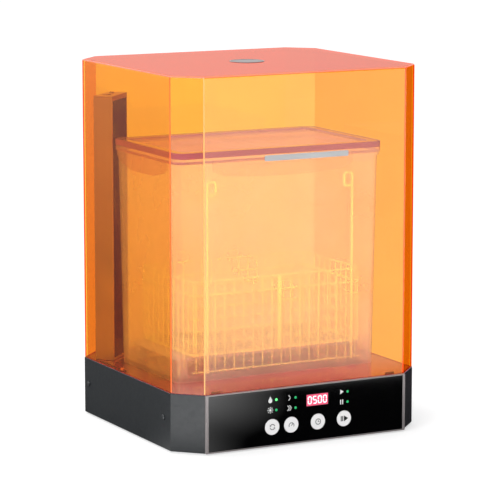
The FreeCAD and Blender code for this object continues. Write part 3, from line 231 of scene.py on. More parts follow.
def sheet_plastic(name, tint, haze, haze_colour, reach=1.0, power=1.0, rough=0.03, mirror_colour=(1, 1, 1),
                  top_painted_reflection=(1, 1, 1), glancing_painted_reflection=(1, 1, 1), low_haze=1.0):
    """A clear or tinted wall with two faces: the outer one mirrors and tints, the inner one lets all through.
    The haze is low_haze times as thick at the wall's foot.  Light on its way in to the pieces inside passes
    untinted, as from lamps that shine in from all sides."""
    material = bpy.data.materials.new(name)
    tree = Tree(material)
    front = tree.math("SUBTRACT", 1.0, tree.add("ShaderNodeNewGeometry").outputs["Backfacing"])
    colour = tree.mixed(front, (1, 1, 1, 1), path_tint(tree, tint, reach, power))
    clear = tree.add("ShaderNodeBsdfTransparent", {"Color": colour}).outputs[0]
    cloud = tree.between(tree.noise(14.0, 4.0), 0.8 * haze, 1.2 * haze)
    height = tree.add("ShaderNodeSeparateXYZ", {0: tree.place()}).outputs["Z"]
    cloud = tree.math("MULTIPLY", cloud, tree.ramp(height, HAZE_LOW, HAZE_HIGH, low_haze, 1.0))
    lit_behind = tree.add("ShaderNodeBsdfTranslucent", {"Color": (*haze_colour, 1)}).outputs[0]
    lit_before = tree.add("ShaderNodeBsdfDiffuse", {"Color": (*haze_colour, 1)}).outputs[0]
    milk = tree.add("ShaderNodeMixShader", {0: 0.5, 1: lit_behind, 2: lit_before}).outputs[0]
    cloud = tree.math("MULTIPLY", cloud, front)
    clear = tree.add("ShaderNodeMixShader", {0: cloud, 1: clear, 2: milk}).outputs[0]
    ripple = tree.bump(tree.noise(7.0, 2.0), 0.0006)
    # The mirror's colour is a painted reflection tint: mirror_colour in general, the glancing one on faces
    # seen edge-on and the top one on faces that look up.
    slant = tree.add("ShaderNodeLayerWeight", {"Blend": 0.5}).outputs["Facing"]
    steep = tree.ramp(slant, STEEP_FROM, STEEP_TO)
    painted_reflection_tint = tree.mixed(tree.upward(), tree.tones(steep, mirror_colour, glancing_painted_reflection), (*top_painted_reflection, 1))
    mirror = tree.add("ShaderNodeBsdfGlossy", {"Color": painted_reflection_tint, "Roughness": rough, "Normal": ripple})
    fresnel = tree.add("ShaderNodeFresnel", {"IOR": SHEET_IOR}).outputs[0]
    mirrored = tree.math("MULTIPLY", fresnel, front)
    seen = tree.add("ShaderNodeMixShader", {0: mirrored, 1: clear, 2: mirror.outputs[0]})
    open_way = tree.add("ShaderNodeBsdfTransparent").outputs[0]
    path = tree.add("ShaderNodeLightPath")
    shader = seen.outputs[0]
    for ray in ("Is Diffuse Ray", "Is Shadow Ray"):
        shader = tree.add("ShaderNodeMixShader", {0: path.outputs[ray], 1: shader, 2: open_way}).outputs[0]
    tree.finish(shader)
    return material


STEEL = (0.62, 0.63, 0.64)
# colour, spread of its tone, grain per metre and its depth in metres, least and most rough, metallic
SOLIDS = {
    "zinc_sheet": ((0.55, 0.56, 0.58), 0.1, 300.0, 0.00001, (0.3, 0.45), 1.0),
    "foot_rubber": ((0.02, 0.02, 0.02), 0.2, 1500.0, 0.00006, (0.7, 0.85)),
    "screw_black": ((0.10, 0.105, 0.11), 0.1, 1200.0, 0.00001, (0.3, 0.4), 0.8),
    "screw_steel": (STEEL, 0.06, 1200.0, 0.00001, (0.2, 0.3), 1.0),
    "trim_grey": (linear(150, 143, 143), 0.04, 2200.0, 0.00002, (0.3, 0.38), 0.35),
    "panel_black": ((0.0012, 0.0012, 0.0014), 0.1, 60.0, 0.0000015, (0.05, 0.09)),
    "board_green": ((0.02, 0.13, 0.06), 0.25, 700.0, 0.00004, (0.25, 0.4)),
    "brass_post": ((0.72, 0.5, 0.2), 0.1, 900.0, 0.00001, (0.2, 0.32), 1.0),
    "switch_black": ((0.02, 0.02, 0.021), 0.15, 1800.0, 0.00003, (0.35, 0.5)),
    "button_white": ((0.98, 0.97, 0.975), 0.01, 1600.0, 0.000008, (0.2, 0.28)),
    "component_grey": ((0.09, 0.09, 0.1), 0.3, 900.0, 0.00003, (0.35, 0.55)),
    "motor_can": ((0.5, 0.5, 0.5), 0.1, 400.0, 0.00002, (0.3, 0.42), 1.0),
    "shaft_steel": (STEEL, 0.05, 900.0, 0.000006, (0.12, 0.2), 1.0),
    "rotor_nylon": ((0.72, 0.7, 0.64), 0.06, 1200.0, 0.00003, (0.45, 0.6)),
    "magnet_nickel": ((0.7, 0.68, 0.62), 0.06, 900.0, 0.000006, (0.15, 0.25), 1.0),
    "rocker_black": ((0.015, 0.015, 0.016), 0.1, 1600.0, 0.00001, (0.16, 0.24)),
    "lead_black": ((0.02, 0.02, 0.02), 0.2, 900.0, 0.00003, (0.5, 0.65)),
    "locator_rubber": ((0.30, 0.12, 0.10), 0.2, 1500.0, 0.00005, (0.6, 0.75)),
    "sensor_black": ((0.03, 0.015, 0.015), 0.2, 1500.0, 0.00003, (0.35, 0.5)),
    "column_alloy": ((0.64, 0.46, 0.44), 0.06, 420.0, 0.00002, (0.3, 0.4), 0.85),
    "board_white": ((0.68, 0.68, 0.68), 0.05, 700.0, 0.00002, (0.3, 0.4)),
    "plate_silver": ((0.42, 0.42, 0.425), 0.05, 500.0, 0.00002, (0.4, 0.5), 0.3),
    "badge_silver": ((0.24, 0.22, 0.22), 0.05, 500.0, 0.00002, (0.3, 0.4), 0.5),
    "tab_red": ((0.75, 0.22, 0.16), 0.08, 1200.0, 0.00003, (0.3, 0.45)),
    "guard_plastic": ((0.66, 0.50, 0.60), 0.06, 1200.0, 0.00005, (0.4, 0.55)),
    "impeller_plastic": ((0.6, 0.6, 0.6), 0.06, 1200.0, 0.00004, (0.35, 0.5)),
    # a painted yellow tint on the basket's steel, for the amber light it reflects
    "basket_steel": ((0.95, 0.90, 0.66), 0.04, 1500.0, 0.000006, (0.34, 0.4), 0.5),
    "gasket_silicone": ((0.34, 0.10, 0.34), 0.12, 900.0, 0.00004, (0.4, 0.55)),
}
# what a few of them take besides
EXTRAS = {
    "zinc_sheet": {"cloud": 60.0},
    "panel_black": {"coat": 1.0},
    "board_green": {"coat": 0.5},
    "button_white": {"coat": 0.3},
    "motor_can": {"stretch": (1.0, 1.0, 12.0)},
    "column_alloy": {"stretch": (6.0, 6.0, 0.3)},
    "plate_silver": {"stretch": (0.1, 1.0, 6.0)},
}


# body colour, strength of its own light and that light's colour
GLOWING = {
    "display_red": ((0.2, 0.01, 0.02), 1.0, linear(238, 96, 128)),
    "led_green": ((0.02, 0.3, 0.12), 0.8, linear(20, 170, 92)),
    "emitter_violet": ((0.8, 0.78, 0.9), 0.5, (0.9, 0.85, 1.0)),
}
# the mirror colours below are painted reflection tints: the amber's red at glancing angles and salmon on top
SHEETS = {
    "lamp_glass": dict(tint=(0.30, 0.26, 0.34), haze=0.05, haze_colour=(0.3, 0.25, 0.3)),
    "amber_acrylic": dict(tint=(0.999, 0.745, 0.235), haze=0.13, haze_colour=(1.0, 0.08, 0.02), reach=0.87,
                          mirror_colour=(0.78, 0.78, 0.66), top_painted_reflection=(0.72, 0.45, 0.385),
                          glancing_painted_reflection=(1.0, 0.12, 0.02)),
    "bucket_clear": dict(tint=(0.985, 0.94, 0.985), haze=0.3, haze_colour=(0.98, 0.74, 1.0), power=0.8,
                         rough=0.08, low_haze=1.5),
    "lid_clear": dict(tint=(0.93, 0.80, 0.86), haze=0.35, haze_colour=(1.0, 0.66, 1.0), power=0.8, rough=0.1),
    "latch_clear": dict(tint=(0.95, 0.86, 0.90), haze=0.22, haze_colour=(0.90, 0.55, 0.66), power=0.9,
                        rough=0.1),
}


def make_materials():
    """Every finish, keyed by the record's material slot."""
    finishes = {name: solid(name, *look, **EXTRAS.get(name, {})) for name, look in SOLIDS.items()}
    finishes.update({name: lit(name, *look) for name, look in GLOWING.items()})
    finishes.update({name: sheet_plastic(name, **look) for name, look in SHEETS.items()})
    finishes["powder_coat"] = powder_coat()
    return finishes


MATERIALS = make_materials()
NODE_SLOT = {entry["node"]: entry["material_slot"] for entry in frame["record"]["subparts"]}
BODY_OF = {node: body for body, names in frame["record"]["behaviour"]["bodies"].items() for node in names}


# ---------------------------------------------------------------------------------------------
# CAD nodes that stay: their finish, and softened edges
# ---------------------------------------------------------------------------------------------

SHARP_ANGLE = math.radians(28)
SHORTEST_SOFT = 1.0 * MM
WELD_GAP = 0.01 * MM
# the nodes whose edges are softened, with the width of the bevel in millimetres
SOFT_EDGES = {
    "base_housing": 0.8, "bottom_plate": 0.3, "rubber_feet": 0.5, "front_trim": 0.35, "front_panel": 0.3,
    "column_housing": 0.8, "column_cap": 0.4, "impeller_guard": 0.6, "impeller": 0.5, "lid_panel": 0.5,
    "lid_gasket": 0.4, "latch_front": 0.5, "latch_rear": 0.5, "latch_left": 0.5, "latch_right": 0.5,
    "cover_locators": 0.5, "cover_magnet": 0.5, "power_rocker": 0.3, "rocker_bezel": 0.3, "power_inlet": 0.2,
    "motor_bracket": 0.4, "rotor_disc": 0.4, "drive_motor": 0.5, "board_components": 0.4, "bucket_shell": 0.4,
    "interlock_sensor": 0.3, "column_screws": 0.2,
}


def edge_group():
    """Geometry nodes that join split corners, mark sharp edges, and weight the longer ones for a bevel."""
    group = bpy.data.node_groups.new("edge_marks", "GeometryNodeTree")
    for way in ("INPUT", "OUTPUT"):
        group.interface.new_socket("Geometry", in_out=way, socket_type="NodeSocketGeometry")

    def add(kind, inputs=None, **settings):
        return add_node(group, kind, inputs, **settings)

    angle = add("GeometryNodeInputMeshEdgeAngle").outputs["Unsigned Angle"]
    sharp = add("FunctionNodeCompare", {0: angle, 1: SHARP_ANGLE}, operation="GREATER_THAN").outputs[0]
    ends = add("GeometryNodeInputMeshEdgeVertices")
    gap = add("ShaderNodeVectorMath", {0: ends.outputs["Position 1"], 1: ends.outputs["Position 2"]},
              operation="DISTANCE").outputs["Value"]
    is_long = add("FunctionNodeCompare", {0: gap, 1: SHORTEST_SOFT}, operation="GREATER_THAN").outputs[0]
    both = add("FunctionNodeBooleanMath", {0: sharp, 1: is_long}, operation="AND").outputs[0]
    mesh = add("NodeGroupInput").outputs[0]
    mesh = add("GeometryNodeMergeByDistance", {"Geometry": mesh, "Distance": WELD_GAP}).outputs[0]
    mesh = add("GeometryNodeRemoveAttribute", {"Geometry": mesh, "Name": "custom_normal"}).outputs[0]
    mesh = add("GeometryNodeSetShadeSmooth", {"Geometry": mesh, "Selection": sharp, "Shade Smooth": False},
               domain="EDGE").outputs[0]
    store = add("GeometryNodeStoreNamedAttribute", {"Geometry": mesh, "Name": "bevel_weight_edge"},
                data_type="FLOAT", domain="EDGE")
    group.links.new(both, store.inputs["Value"])
    add("NodeGroupOutput", {0: store.outputs[0]})
    return group


def dress_nodes():
    """Give every CAD node its finish; join and bevel those whose edges show."""
    marks = edge_group()
    for name, node in NODES.items():
        node.data.materials.clear()
        node.data.materials.append(MATERIALS[NODE_SLOT[name]])
        if name not in SOFT_EDGES:
            continue
        node.modifiers.new("marks", "NODES").node_group = marks
        bevel = node.modifiers.new("bevel", "BEVEL")
        bevel.width = SOFT_EDGES[name] * MM
        bevel.segments = 2
        bevel.limit_method = "WEIGHT"
        bevel.harden_normals = True


# ---------------------------------------------------------------------------------------------
# mesh helpers
# ---------------------------------------------------------------------------------------------

def keep_piece(name, mesh_or_curve, node, smooth=True, material=None):
    """A new piece on the body of a CAD node, in that node's finish or in a given one."""
    piece = bpy.data.objects.new(name, mesh_or_curve)
    bpy.context.scene.collection.objects.link(piece)
    slot = NODE_SLOT[node]
    mesh_or_curve.materials.append(material or MATERIALS[slot])
    if smooth and isinstance(mesh_or_curve, bpy.types.Mesh):
        mesh_or_curve.shade_smooth()
    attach(piece, BODY_OF[node])
    return piece


def mesh_from(bm, name):
    bmesh.ops.recalc_face_normals(bm, faces=bm.faces)
    mesh = bpy.data.meshes.new(name)
    bm.to_mesh(mesh)
    bm.free()
    return mesh


def lathe_into(bm, profile, place, segments=40):
    """Turn a profile of (radius, height) pairs about local Z, closed at both ends, and put it in place."""
    rings = []
    for radius, height in profile:
        ring = []
        for step in range(segments):
            angle = 2 * math.pi * step / segments
            point = Vector((radius * math.cos(angle), radius * math.sin(angle), height))
            ring.append(bm.verts.new(place @ point))
        rings.append(ring)
    for low, high in zip(rings, rings[1:]):
        for step in range(segments):
            after = (step + 1) % segments
            bm.faces.new((low[step], low[after], high[after], high[step]))
    bm.faces.new(list(reversed(rings[0])))
    bm.faces.new(rings[-1])


def plate_into(bm, outline, place, thickness, bevel=0.0):
    """A flat plate: a closed outline in local XY, extruded along +Z, its front edge chamfered by bevel."""
    centre = sum((Vector((x, y)) for x, y in outline), Vector((0, 0))) / len(outline)
    layers = [(0.0, 0.0), (thickness - bevel, 0.0)]
    if bevel > 0:
        layers.append((thickness, bevel))
    rings = []
    for height, inset in layers:
        ring = []
        for x, y in outline:
            point = Vector((x, y))
            way = point - centre
            moved = point - way.normalized() * min(inset, way.length * 0.5)
            ring.append(bm.verts.new(place @ Vector((moved.x, moved.y, height))))
        rings.append(ring)
    count = len(outline)
    for low, high in zip(rings, rings[1:]):
        for step in range(count):
            after = (step + 1) % count
            bm.faces.new((low[step], low[after], high[after], high[step]))
    bm.faces.new(list(reversed(rings[0])))
    bm.faces.new(rings[-1])


def arc_points(cx, cy, radius, start, end, steps):
    """Points along an arc in the plane, angles in degrees."""
    angles = [math.radians(start + (end - start) * step / steps) for step in range(steps + 1)]
    return [(cx + radius * math.cos(angle), cy + radius * math.sin(angle)) for angle in angles]


def rounded_outline(half_x, half_y, radius, steps=6):
    """A rectangle with rounded corners, centred on the origin."""
    x, y = half_x - radius, half_y - radius
    return (arc_points(x, y, radius, 0, 90, steps) + arc_points(-x, y, radius, 90, 180, steps)
            + arc_points(-x, -y, radius, 180, 270, steps) + arc_points(x, -y, radius, 270, 360, steps))


def front_plane(x, y, z):
    """A local frame on a face that looks to -Y: X to the right, Y up, Z out to the front."""
    return Matrix.Translation((x, y, z)) @ Matrix.Rotation(math.radians(90), 4, "X")


def wires(name, node, paths, radius, closed=False, material=None, resolution=3):
    """Round wires as one curve object; each path is a list of points."""
    curve = bpy.data.curves.new(name, "CURVE")
    curve.dimensions = "3D"
    curve.bevel_depth = radius
    curve.bevel_resolution = resolution
    curve.use_fill_caps = True
    for path in paths:
        spline = curve.splines.new("POLY")
        spline.points.add(len(path) - 1)
        for point, where in zip(spline.points, path):
            point.co = (*where, 1)
        spline.use_cyclic_u = closed
    return keep_piece(name, curve, node, material=material)


BEND_STEPS = 5


def bent_path(corners, radius, closed=False):
    """A path through corner points with each corner turned on an arc."""
    points = [Vector(corner) for corner in corners]
    count = len(points)
    path = []
    for index in range(count):
        here = points[index]
        if not closed and index in (0, count - 1):
            path.append(here)
            continue
        back = (points[index - 1] - here).normalized()
        ahead = (points[(index + 1) % count] - here).normalized()
        half = back.angle(ahead) / 2
        centre = here + (back + ahead).normalized() * (radius / math.sin(half))
        arm = here + back * (radius / math.tan(half)) - centre
        turn = math.pi - 2 * half
        axis = ahead.cross(back)
        path += [centre + Matrix.Rotation(turn * step / BEND_STEPS, 3, axis) @ arm
                 for step in range(BEND_STEPS + 1)]
    return path


# ---------------------------------------------------------------------------------------------
# basket: round wires in place of the square ones
# ---------------------------------------------------------------------------------------------

MESH_WIRE = 1.8 * MM
MESH_WELD = 0.2 * MM
MESH_PITCH = 13.5 * MM
CROSS_PITCH = 14.0 * MM
MID_RING_DROP = 18.6 * MM
RAIL_RADIUS = 1.25 * MM
RAIL_CORNER = 5.0 * MM
POST_RADIUS = 1.75 * MM
LOOP_WIDE = 15.0 * MM
LOOP_TALL = 20.0 * MM
STRAP_X = 6.0 * MM
STRAP_HALF = 2.2 * MM
STRAP_THICK = 2.5 * MM
STRAP_CORNER = 2.0 * MM
STRAP_BEVEL = 0.6 * MM
POST_BEND = 3.0 * MM


def spread(low, high, pitch):
    """Even steps from low to high, about a pitch apart."""
    count = max(1, round((high - low) / pitch))
    return [low + (high - low) * index / count for index in range(count + 1)]


def mesh_wall(node, along, outward):
    """Upright wires with cross wires welded inside them; the wall runs along X (0) or Y (1), and outward is
    the sign of its outer side."""
    low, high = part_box(node)
    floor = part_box("basket_floor")[0][2]
    across = 1 - along
    radius = MESH_WIRE / 2
    outer = (high if outward > 0 else low)[across] - outward * radius
    inner = outer - outward * (MESH_WIRE - MESH_WELD)
    mid_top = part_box("basket_rails")[1][2] - MID_RING_DROP
    paths = []
    for centre in spread(low[along] + radius, high[along] - radius, MESH_PITCH):
        foot, head = [0, 0, low[2]], [0, 0, high[2]]
        foot[along] = head[along] = centre
        foot[across] = head[across] = outer
        paths.append([tuple(foot), tuple(head)])
    for level in spread(floor + radius, mid_top, CROSS_PITCH):
        left, right = [0, 0, level], [0, 0, level]
        left[along], right[along] = low[along], high[along]
        left[across] = right[across] = inner
        paths.append([tuple(left), tuple(right)])
    return wires(node + "_wires", node, paths, radius)


def hoop(x0, x1, y0, y1, z):
    """A level rectangle of rail with bent corners."""
    return bent_path([(x0, y0, z), (x1, y0, z), (x1, y1, z), (x0, y1, z)], RAIL_CORNER, closed=True)


def basket():
    """Four mesh walls and the floor, then the rails and the posts."""
    for node, along, outward in (("basket_front", 0, -1), ("basket_rear", 0, 1), ("basket_left", 1, -1),
                                 ("basket_right", 1, 1)):
        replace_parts(mesh_wall(node, along, outward), node)
    low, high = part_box("basket_floor")
    radius = MESH_WIRE / 2
    paths = [[(x, low[1], low[2] + radius), (x, high[1], low[2] + radius)]
             for x in spread(low[0] + radius, high[0] - radius, MESH_PITCH)]
    paths += [[(low[0], y, high[2] - radius), (high[0], y, high[2] - radius)]
              for y in spread(low[1] + radius, high[1] - radius, MESH_PITCH)]
    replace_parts(wires("basket_floor_wires", "basket_floor", paths, radius), "basket_floor")
    basket_rails()
    basket_posts()


def basket_rails():
    """Three hoops round the mesh and two rails under it."""
    low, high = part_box("basket_rails")
    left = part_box("basket_left")[0][0] - RAIL_RADIUS
    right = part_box("basket_right")[1][0] + RAIL_RADIUS
    front, back = low[1] + RAIL_RADIUS, high[1] - RAIL_RADIUS
    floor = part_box("basket_floor")[0][2]
    levels = [high[2] - RAIL_RADIUS, high[2] - MID_RING_DROP, floor + RAIL_RADIUS]
    hoops = [hoop(left, right, front, back, level) for level in levels]
    rings = wires("basket_hoops", "basket_rails", hoops, RAIL_RADIUS, closed=True)
    foot = low[2] + RAIL_RADIUS
    paths = [[(low[0] + RAIL_RADIUS, y, foot), (right - RAIL_RADIUS, y, foot)] for y in (front, back)]
    feet = wires("basket_foot_rails", "basket_rails", paths, RAIL_RADIUS)
    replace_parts(rings, "basket_rails")
    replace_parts(feet, "basket_rails")


def basket_posts():
    """Two bent lifting posts, each ending in a finger loop turned inward, and the flat strap."""
    low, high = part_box("basket_posts")
    y = low[1] + POST_RADIUS
    bottom, top = low[2], high[2] - POST_RADIUS
    reach = LOOP_WIDE - 2 * POST_RADIUS
    drop = LOOP_TALL - 2 * POST_RADIUS
    paths = []
    for x, sign in ((low[0] + POST_RADIUS, 1), (high[0] - POST_RADIUS, -1)):
        corners = [(x, y, bottom), (x, y, top), (x + sign * reach, y, top), (x + sign * reach, y, top - drop),
                   (x, y, top - drop)]
        paths.append(bent_path(corners, POST_BEND))
    posts = wires("basket_lifting_posts", "basket_posts", paths, POST_RADIUS, resolution=5)
    strap_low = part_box("basket_floor")[0][2]
    strap_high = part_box("basket_rails")[1][2]
    bm = bmesh.new()
    outline = rounded_outline(STRAP_HALF, (strap_high - strap_low) / 2, STRAP_CORNER)
    place = front_plane(STRAP_X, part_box("basket_rails")[0][1], (strap_low + strap_high) / 2)
    plate_into(bm, outline, place, STRAP_THICK, STRAP_BEVEL)
    strap = keep_piece("basket_strap", mesh_from(bm, "basket_strap"), "basket_posts", smooth=False)
    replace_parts(posts, "basket_posts")
    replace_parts(strap, "basket_posts")


# ---------------------------------------------------------------------------------------------
# front panel: buttons, pictograms, lamps and display
# ---------------------------------------------------------------------------------------------

INK = 0.05 * MM
PRINT_GAP = 0.01 * MM
FLANGE_WIDER = 1.6 * MM
FLANGE_THICK = 1.0 * MM
CAP_ROUND = 0.35 * MM
CAP_FLAT_IN = 1.2 * MM
CAP_CENTRE = 0.4 * MM
LAMP_RADIUS = 1.6 * MM
LAMP_COLLAR = 0.6 * MM
LAMP_COLLAR_TALL = 1.5 * MM
LAMP_DOME = 0.45
LAMP_TIP = 0.05 * MM
LABEL_RISE = 0.4 * MM
SPEED_LAMP_STEP = 26.8 * MM
LABEL_STEP = 8.4 * MM
LABEL_SIZE = 8.0 * MM


def ribbon_into(bm, points, width, place):
    """A flat stroke along straight runs, square at its ends."""
    for (x0, y0), (x1, y1) in zip(points, points[1:]):
        run = Vector((x1 - x0, y1 - y0))
        side = Vector((-run.y, run.x)).normalized() * width / 2
        end = run.normalized() * width / 2
        a, b = Vector((x0, y0)) - end, Vector((x1, y1)) + end
        outline = [tuple(a + side), tuple(a - side), tuple(b - side), tuple(b + side)]
        plate_into(bm, outline, place, INK)


def sun_ray(number):
    """One of eight short rays round the sun."""
    angle = math.pi / 4 * number
    return [(reach * math.cos(angle), reach * math.sin(angle)) for reach in (0.34, 0.46)]


def arrow_head(shift):
    return [(shift - 0.14, 0.36), (shift + 0.16, 0), (shift - 0.14, -0.36)]


def triangle(left, half_y, tip):
    return [(left, half_y), (left, -half_y), (tip, 0)]


def bars(first, second, half_y):
    return [[(x, -half_y), (x, half_y)] for x in (first, second)]


def cycle_arc(start):
    return arc_points(0, 0, 0.36, start, start + 125, 10)


def cycle_tip(start):
    """The arrow head at the end of a cycle's arc."""
    tip = Vector(cycle_arc(start)[-1])
    way = Matrix.Rotation(math.radians(start + 215), 2) @ Vector((0.17, 0))
    wing = Vector((-way.y, way.x))
    return [tuple(tip + way), tuple(tip + wing), tuple(tip - wing)]


STROKE = 0.13
FINE = 0.75 * STROKE
# each symbol at unit size: its filled outlines, its strokes and the width of the strokes
SYMBOLS = {
    "drop": ([arc_points(0, -0.15, 0.34, 150, 390, 16) + [(0, 0.55)]], [], STROKE),
    "sun": ([arc_points(0, 0, 0.2, 0, 337.5, 15)], [sun_ray(number) for number in range(8)], 0.8 * STROKE),
    "arrow": ([], [arrow_head(0.0)], STROKE),
    "arrows": ([], [arrow_head(-0.17), arrow_head(0.17)], STROKE),
    "run": ([triangle(-0.26, 0.36, 0.36)], [], STROKE),
    "hold": ([], bars(-0.18, 0.18, 0.28), 1.3 * STROKE),
    "cycle": ([cycle_tip(20), cycle_tip(200)], [cycle_arc(20), cycle_arc(200)], FINE),
    "dial": ([], [arc_points(0, -0.1, 0.38, 200, -20, 14), [(0, -0.1), (0.2, 0.14)]], FINE),
    "clock": ([], [arc_points(0, 0, 0.38, 0, 360, 24), [(0, 0.2), (0, 0), (0.16, 0)]], FINE),
    "run_hold": ([triangle(-0.04, 0.38, 0.56)], bars(-0.42, -0.22, 0.26), STROKE),
}


def pictogram(kind, size, place):
    """A plain symbol as one thin printed mesh."""
    outlines, strokes, width = SYMBOLS[kind]
    bm = bmesh.new()
    for outline in outlines:
        plate_into(bm, [(x * size, y * size) for x, y in outline], place, INK)
    for points in strokes:
        ribbon_into(bm, [(x * size, y * size) for x, y in points], width * size, place)
    return mesh_from(bm, kind)


def buttons():
    """White domed caps in place of the plain discs, each with a printed symbol."""
    grey = solid("print_grey", (0.16, 0.16, 0.17), 0.1, 900.0, 0.000004, (0.35, 0.45))
    black = solid("print_black", (0.008, 0.008, 0.009), 0.1, 900.0, 0.000004, (0.3, 0.4))
    marks = {"mode": ("cycle", grey, 9.0), "speed": ("dial", grey, 9.0), "time": ("clock", grey, 9.0),
             "start": ("run_hold", black, 10.0)}
    for name, (kind, ink, size) in marks.items():
        node = f"{name}_button"
        low, high = (Vector(corner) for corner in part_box(node))
        centre = (low + high) / 2
        depth = high.y - low.y
        flange = (high.x - low.x) / 2
        cap = flange - FLANGE_WIDER
        profile = [(flange, 0), (flange, FLANGE_THICK), (cap, FLANGE_THICK), (cap, depth - CAP_ROUND)]
        for step in range(1, 5):
            angle = math.pi / 8 * step
            profile.append((cap - CAP_ROUND * (1 - math.cos(angle)),
                            depth - CAP_ROUND * (1 - math.sin(angle))))
        profile += [(cap - CAP_FLAT_IN, depth), (CAP_CENTRE, depth)]
        bm = bmesh.new()
        lathe_into(bm, profile, front_plane(centre.x, high.y, centre.z), 56)
        piece = keep_piece(f"{name}_button_cap", mesh_from(bm, node), node)
        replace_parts(piece, node)
        symbol = pictogram(kind, size * MM, front_plane(centre.x, low.y + PRINT_GAP, centre.z))
        keep_piece(f"{name}_button_symbol", symbol, node, smooth=False, material=ink)


def lamps_and_labels():
    """Domed indicator lamps, with a plain white symbol left of each."""
    low, high = (Vector(corner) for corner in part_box("indicator_leds"))
    radius, collar = LAMP_RADIUS, LAMP_RADIUS + LAMP_COLLAR
    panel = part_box("front_panel")[0][1]
    depth = high.y - low.y
    middle_x = {"mode": low.x + collar, "start": high.x - collar}
    middle_x["speed"] = middle_x["mode"] + SPEED_LAMP_STEP
    levels = {"upper": high.z - collar, "lower": low.z + collar}
    symbols = {"mode": ("drop", "sun"), "speed": ("arrow", "arrows"), "start": ("run", "hold")}
    bright = lit("led_on", (0.1, 0.6, 0.2), 1.6, linear(90, 235, 120))
    white = solid("print_white", (0.85, 0.85, 0.85), 0.05, 900.0, 0.000004, (0.4, 0.5))
    pieces = []
    for group, x in middle_x.items():
        for row, (level, z) in enumerate(levels.items()):
            finish = bright if (group, level) == ("mode", "upper") else None
            bm = bmesh.new()
            profile = [(collar, 0), (collar, LAMP_COLLAR_TALL), (radius, LAMP_COLLAR_TALL), (radius, depth)]
            for step in range(1, 6):
                angle = math.pi / 10 * step
                profile.append((max(radius * math.cos(angle), LAMP_TIP),
                                depth + LAMP_DOME * radius * math.sin(angle)))
            lathe_into(bm, profile, front_plane(x, high.y, z), 24)
            name = f"lamp_{group}_{level}"
            pieces.append(keep_piece(name, mesh_from(bm, name), "indicator_leds", material=finish))
            place = front_plane(x - LABEL_STEP, panel + PRINT_GAP, z + LABEL_RISE)
            mark = pictogram(symbols[group][row], LABEL_SIZE, place)
            keep_piece(f"label_{group}_{row}", mark, "front_panel", smooth=False, material=white)
    for piece in pieces:
        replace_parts(piece, "indicator_leds")


SEGMENTS = {
    # name: (x centre, y centre, upright) in units of half the digit's width and height
    "a": (0, 1, False), "b": (1, 0.5, True), "c": (1, -0.5, True), "d": (0, -1, False),
    "e": (-1, -0.5, True), "f": (-1, 0.5, True), "g": (0, 0, False),
}
LIT_SEGMENTS = {"0": "abcdef", "5": "acdfg"}
DIGIT_HALF_X = 2.2 * MM
DIGIT_HALF_Y = 4.3 * MM
DIGIT_PITCH = 7.1 * MM
SEGMENT_WIDE = 1.25 * MM
SEGMENT_GAP = 0.12 * MM
WINDOW_CORNER = 0.5 * MM
WINDOW_BEVEL = 0.25 * MM


def segment_outline(half_length, half_wide, upright):
    """A bar with pointed ends."""
    tip = half_length
    body = half_length - half_wide
    outline = [(-tip, 0), (-body, -half_wide), (body, -half_wide), (tip, 0), (body, half_wide),
               (-body, half_wide)]
    return [(-y, x) for x, y in outline] if upright else outline


def display():
    """The lit window with its reading of five minutes: 0, 5, 0, 0."""
    low, high = (Vector(corner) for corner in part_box("display_module"))
    centre = (low + high) / 2
    half_x, half_z = (high.x - low.x) / 2, (high.z - low.z) / 2
    bm = bmesh.new()
    outline = rounded_outline(half_x, half_z, WINDOW_CORNER, 3)
    plate_into(bm, outline, front_plane(centre.x, high.y, centre.z), high.y - low.y, WINDOW_BEVEL)
    window = keep_piece("display_window", mesh_from(bm, "display_window"), "display_module", smooth=False)
    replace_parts(window, "display_module")
    glow = lit("digit_glow", (0.9, 0.8, 0.85), 1.25, linear(255, 236, 244))
    for index, digit in enumerate("0500"):
        bm = bmesh.new()
        x = centre.x + (index - 1.5) * DIGIT_PITCH
        for key in LIT_SEGMENTS[digit]:
            sx, sy, upright = SEGMENTS[key]
            half_length = (DIGIT_HALF_Y / 2 if upright else DIGIT_HALF_X) - SEGMENT_GAP
            where = front_plane(x + sx * DIGIT_HALF_X, low.y + PRINT_GAP, centre.z + sy * DIGIT_HALF_Y)
            plate_into(bm, segment_outline(half_length, SEGMENT_WIDE / 2, upright), where, INK)
        name = f"display_digit_{index}"
        keep_piece(name, mesh_from(bm, name), "display_module", smooth=False, material=glow)


# ---------------------------------------------------------------------------------------------
# screws, nameplate and badge
# ---------------------------------------------------------------------------------------------

HEAD_RADIUS = 3.2 * MM
HEAD_TALL = 1.6 * MM
HEAD_RIM = 0.45
HEAD_CROWN = 0.62
RECESS_HALF = 1.5 * MM
RECESS_WIDE = 0.22
RECESS_LEVEL = 0.97
RECESS_THICK = 0.04 * MM


def screw_head_into(bm, place):
    """A pan head: a straight rim, then a crown that rounds over it; local Z points out."""
    profile = [(HEAD_RADIUS, 0), (HEAD_RADIUS, HEAD_TALL * HEAD_RIM)]
    for step in range(1, 6):
        angle = math.pi / 12 * step
        profile.append((HEAD_RADIUS * (HEAD_CROWN + (1 - HEAD_CROWN) * math.cos(angle)),
                        HEAD_TALL * (HEAD_RIM + (1 - HEAD_RIM) * math.sin(angle * 1.2))))
    lathe_into(bm, profile, place, 28)


def shade_cross_into(bm, place):
    """Two dark crossed bars on a head's crown: painted shade standing for its recess."""
    long, wide = RECESS_HALF, RECESS_HALF * RECESS_WIDE
    lift = Matrix.Translation((0, 0, HEAD_TALL * RECESS_LEVEL))
    for turn in (0, 90):
        local = place @ Matrix.Rotation(math.radians(turn), 4, "Z") @ lift
        plate_into(bm, [(-long, -wide), (long, -wide), (long, wide), (-long, wide)], local, RECESS_THICK)


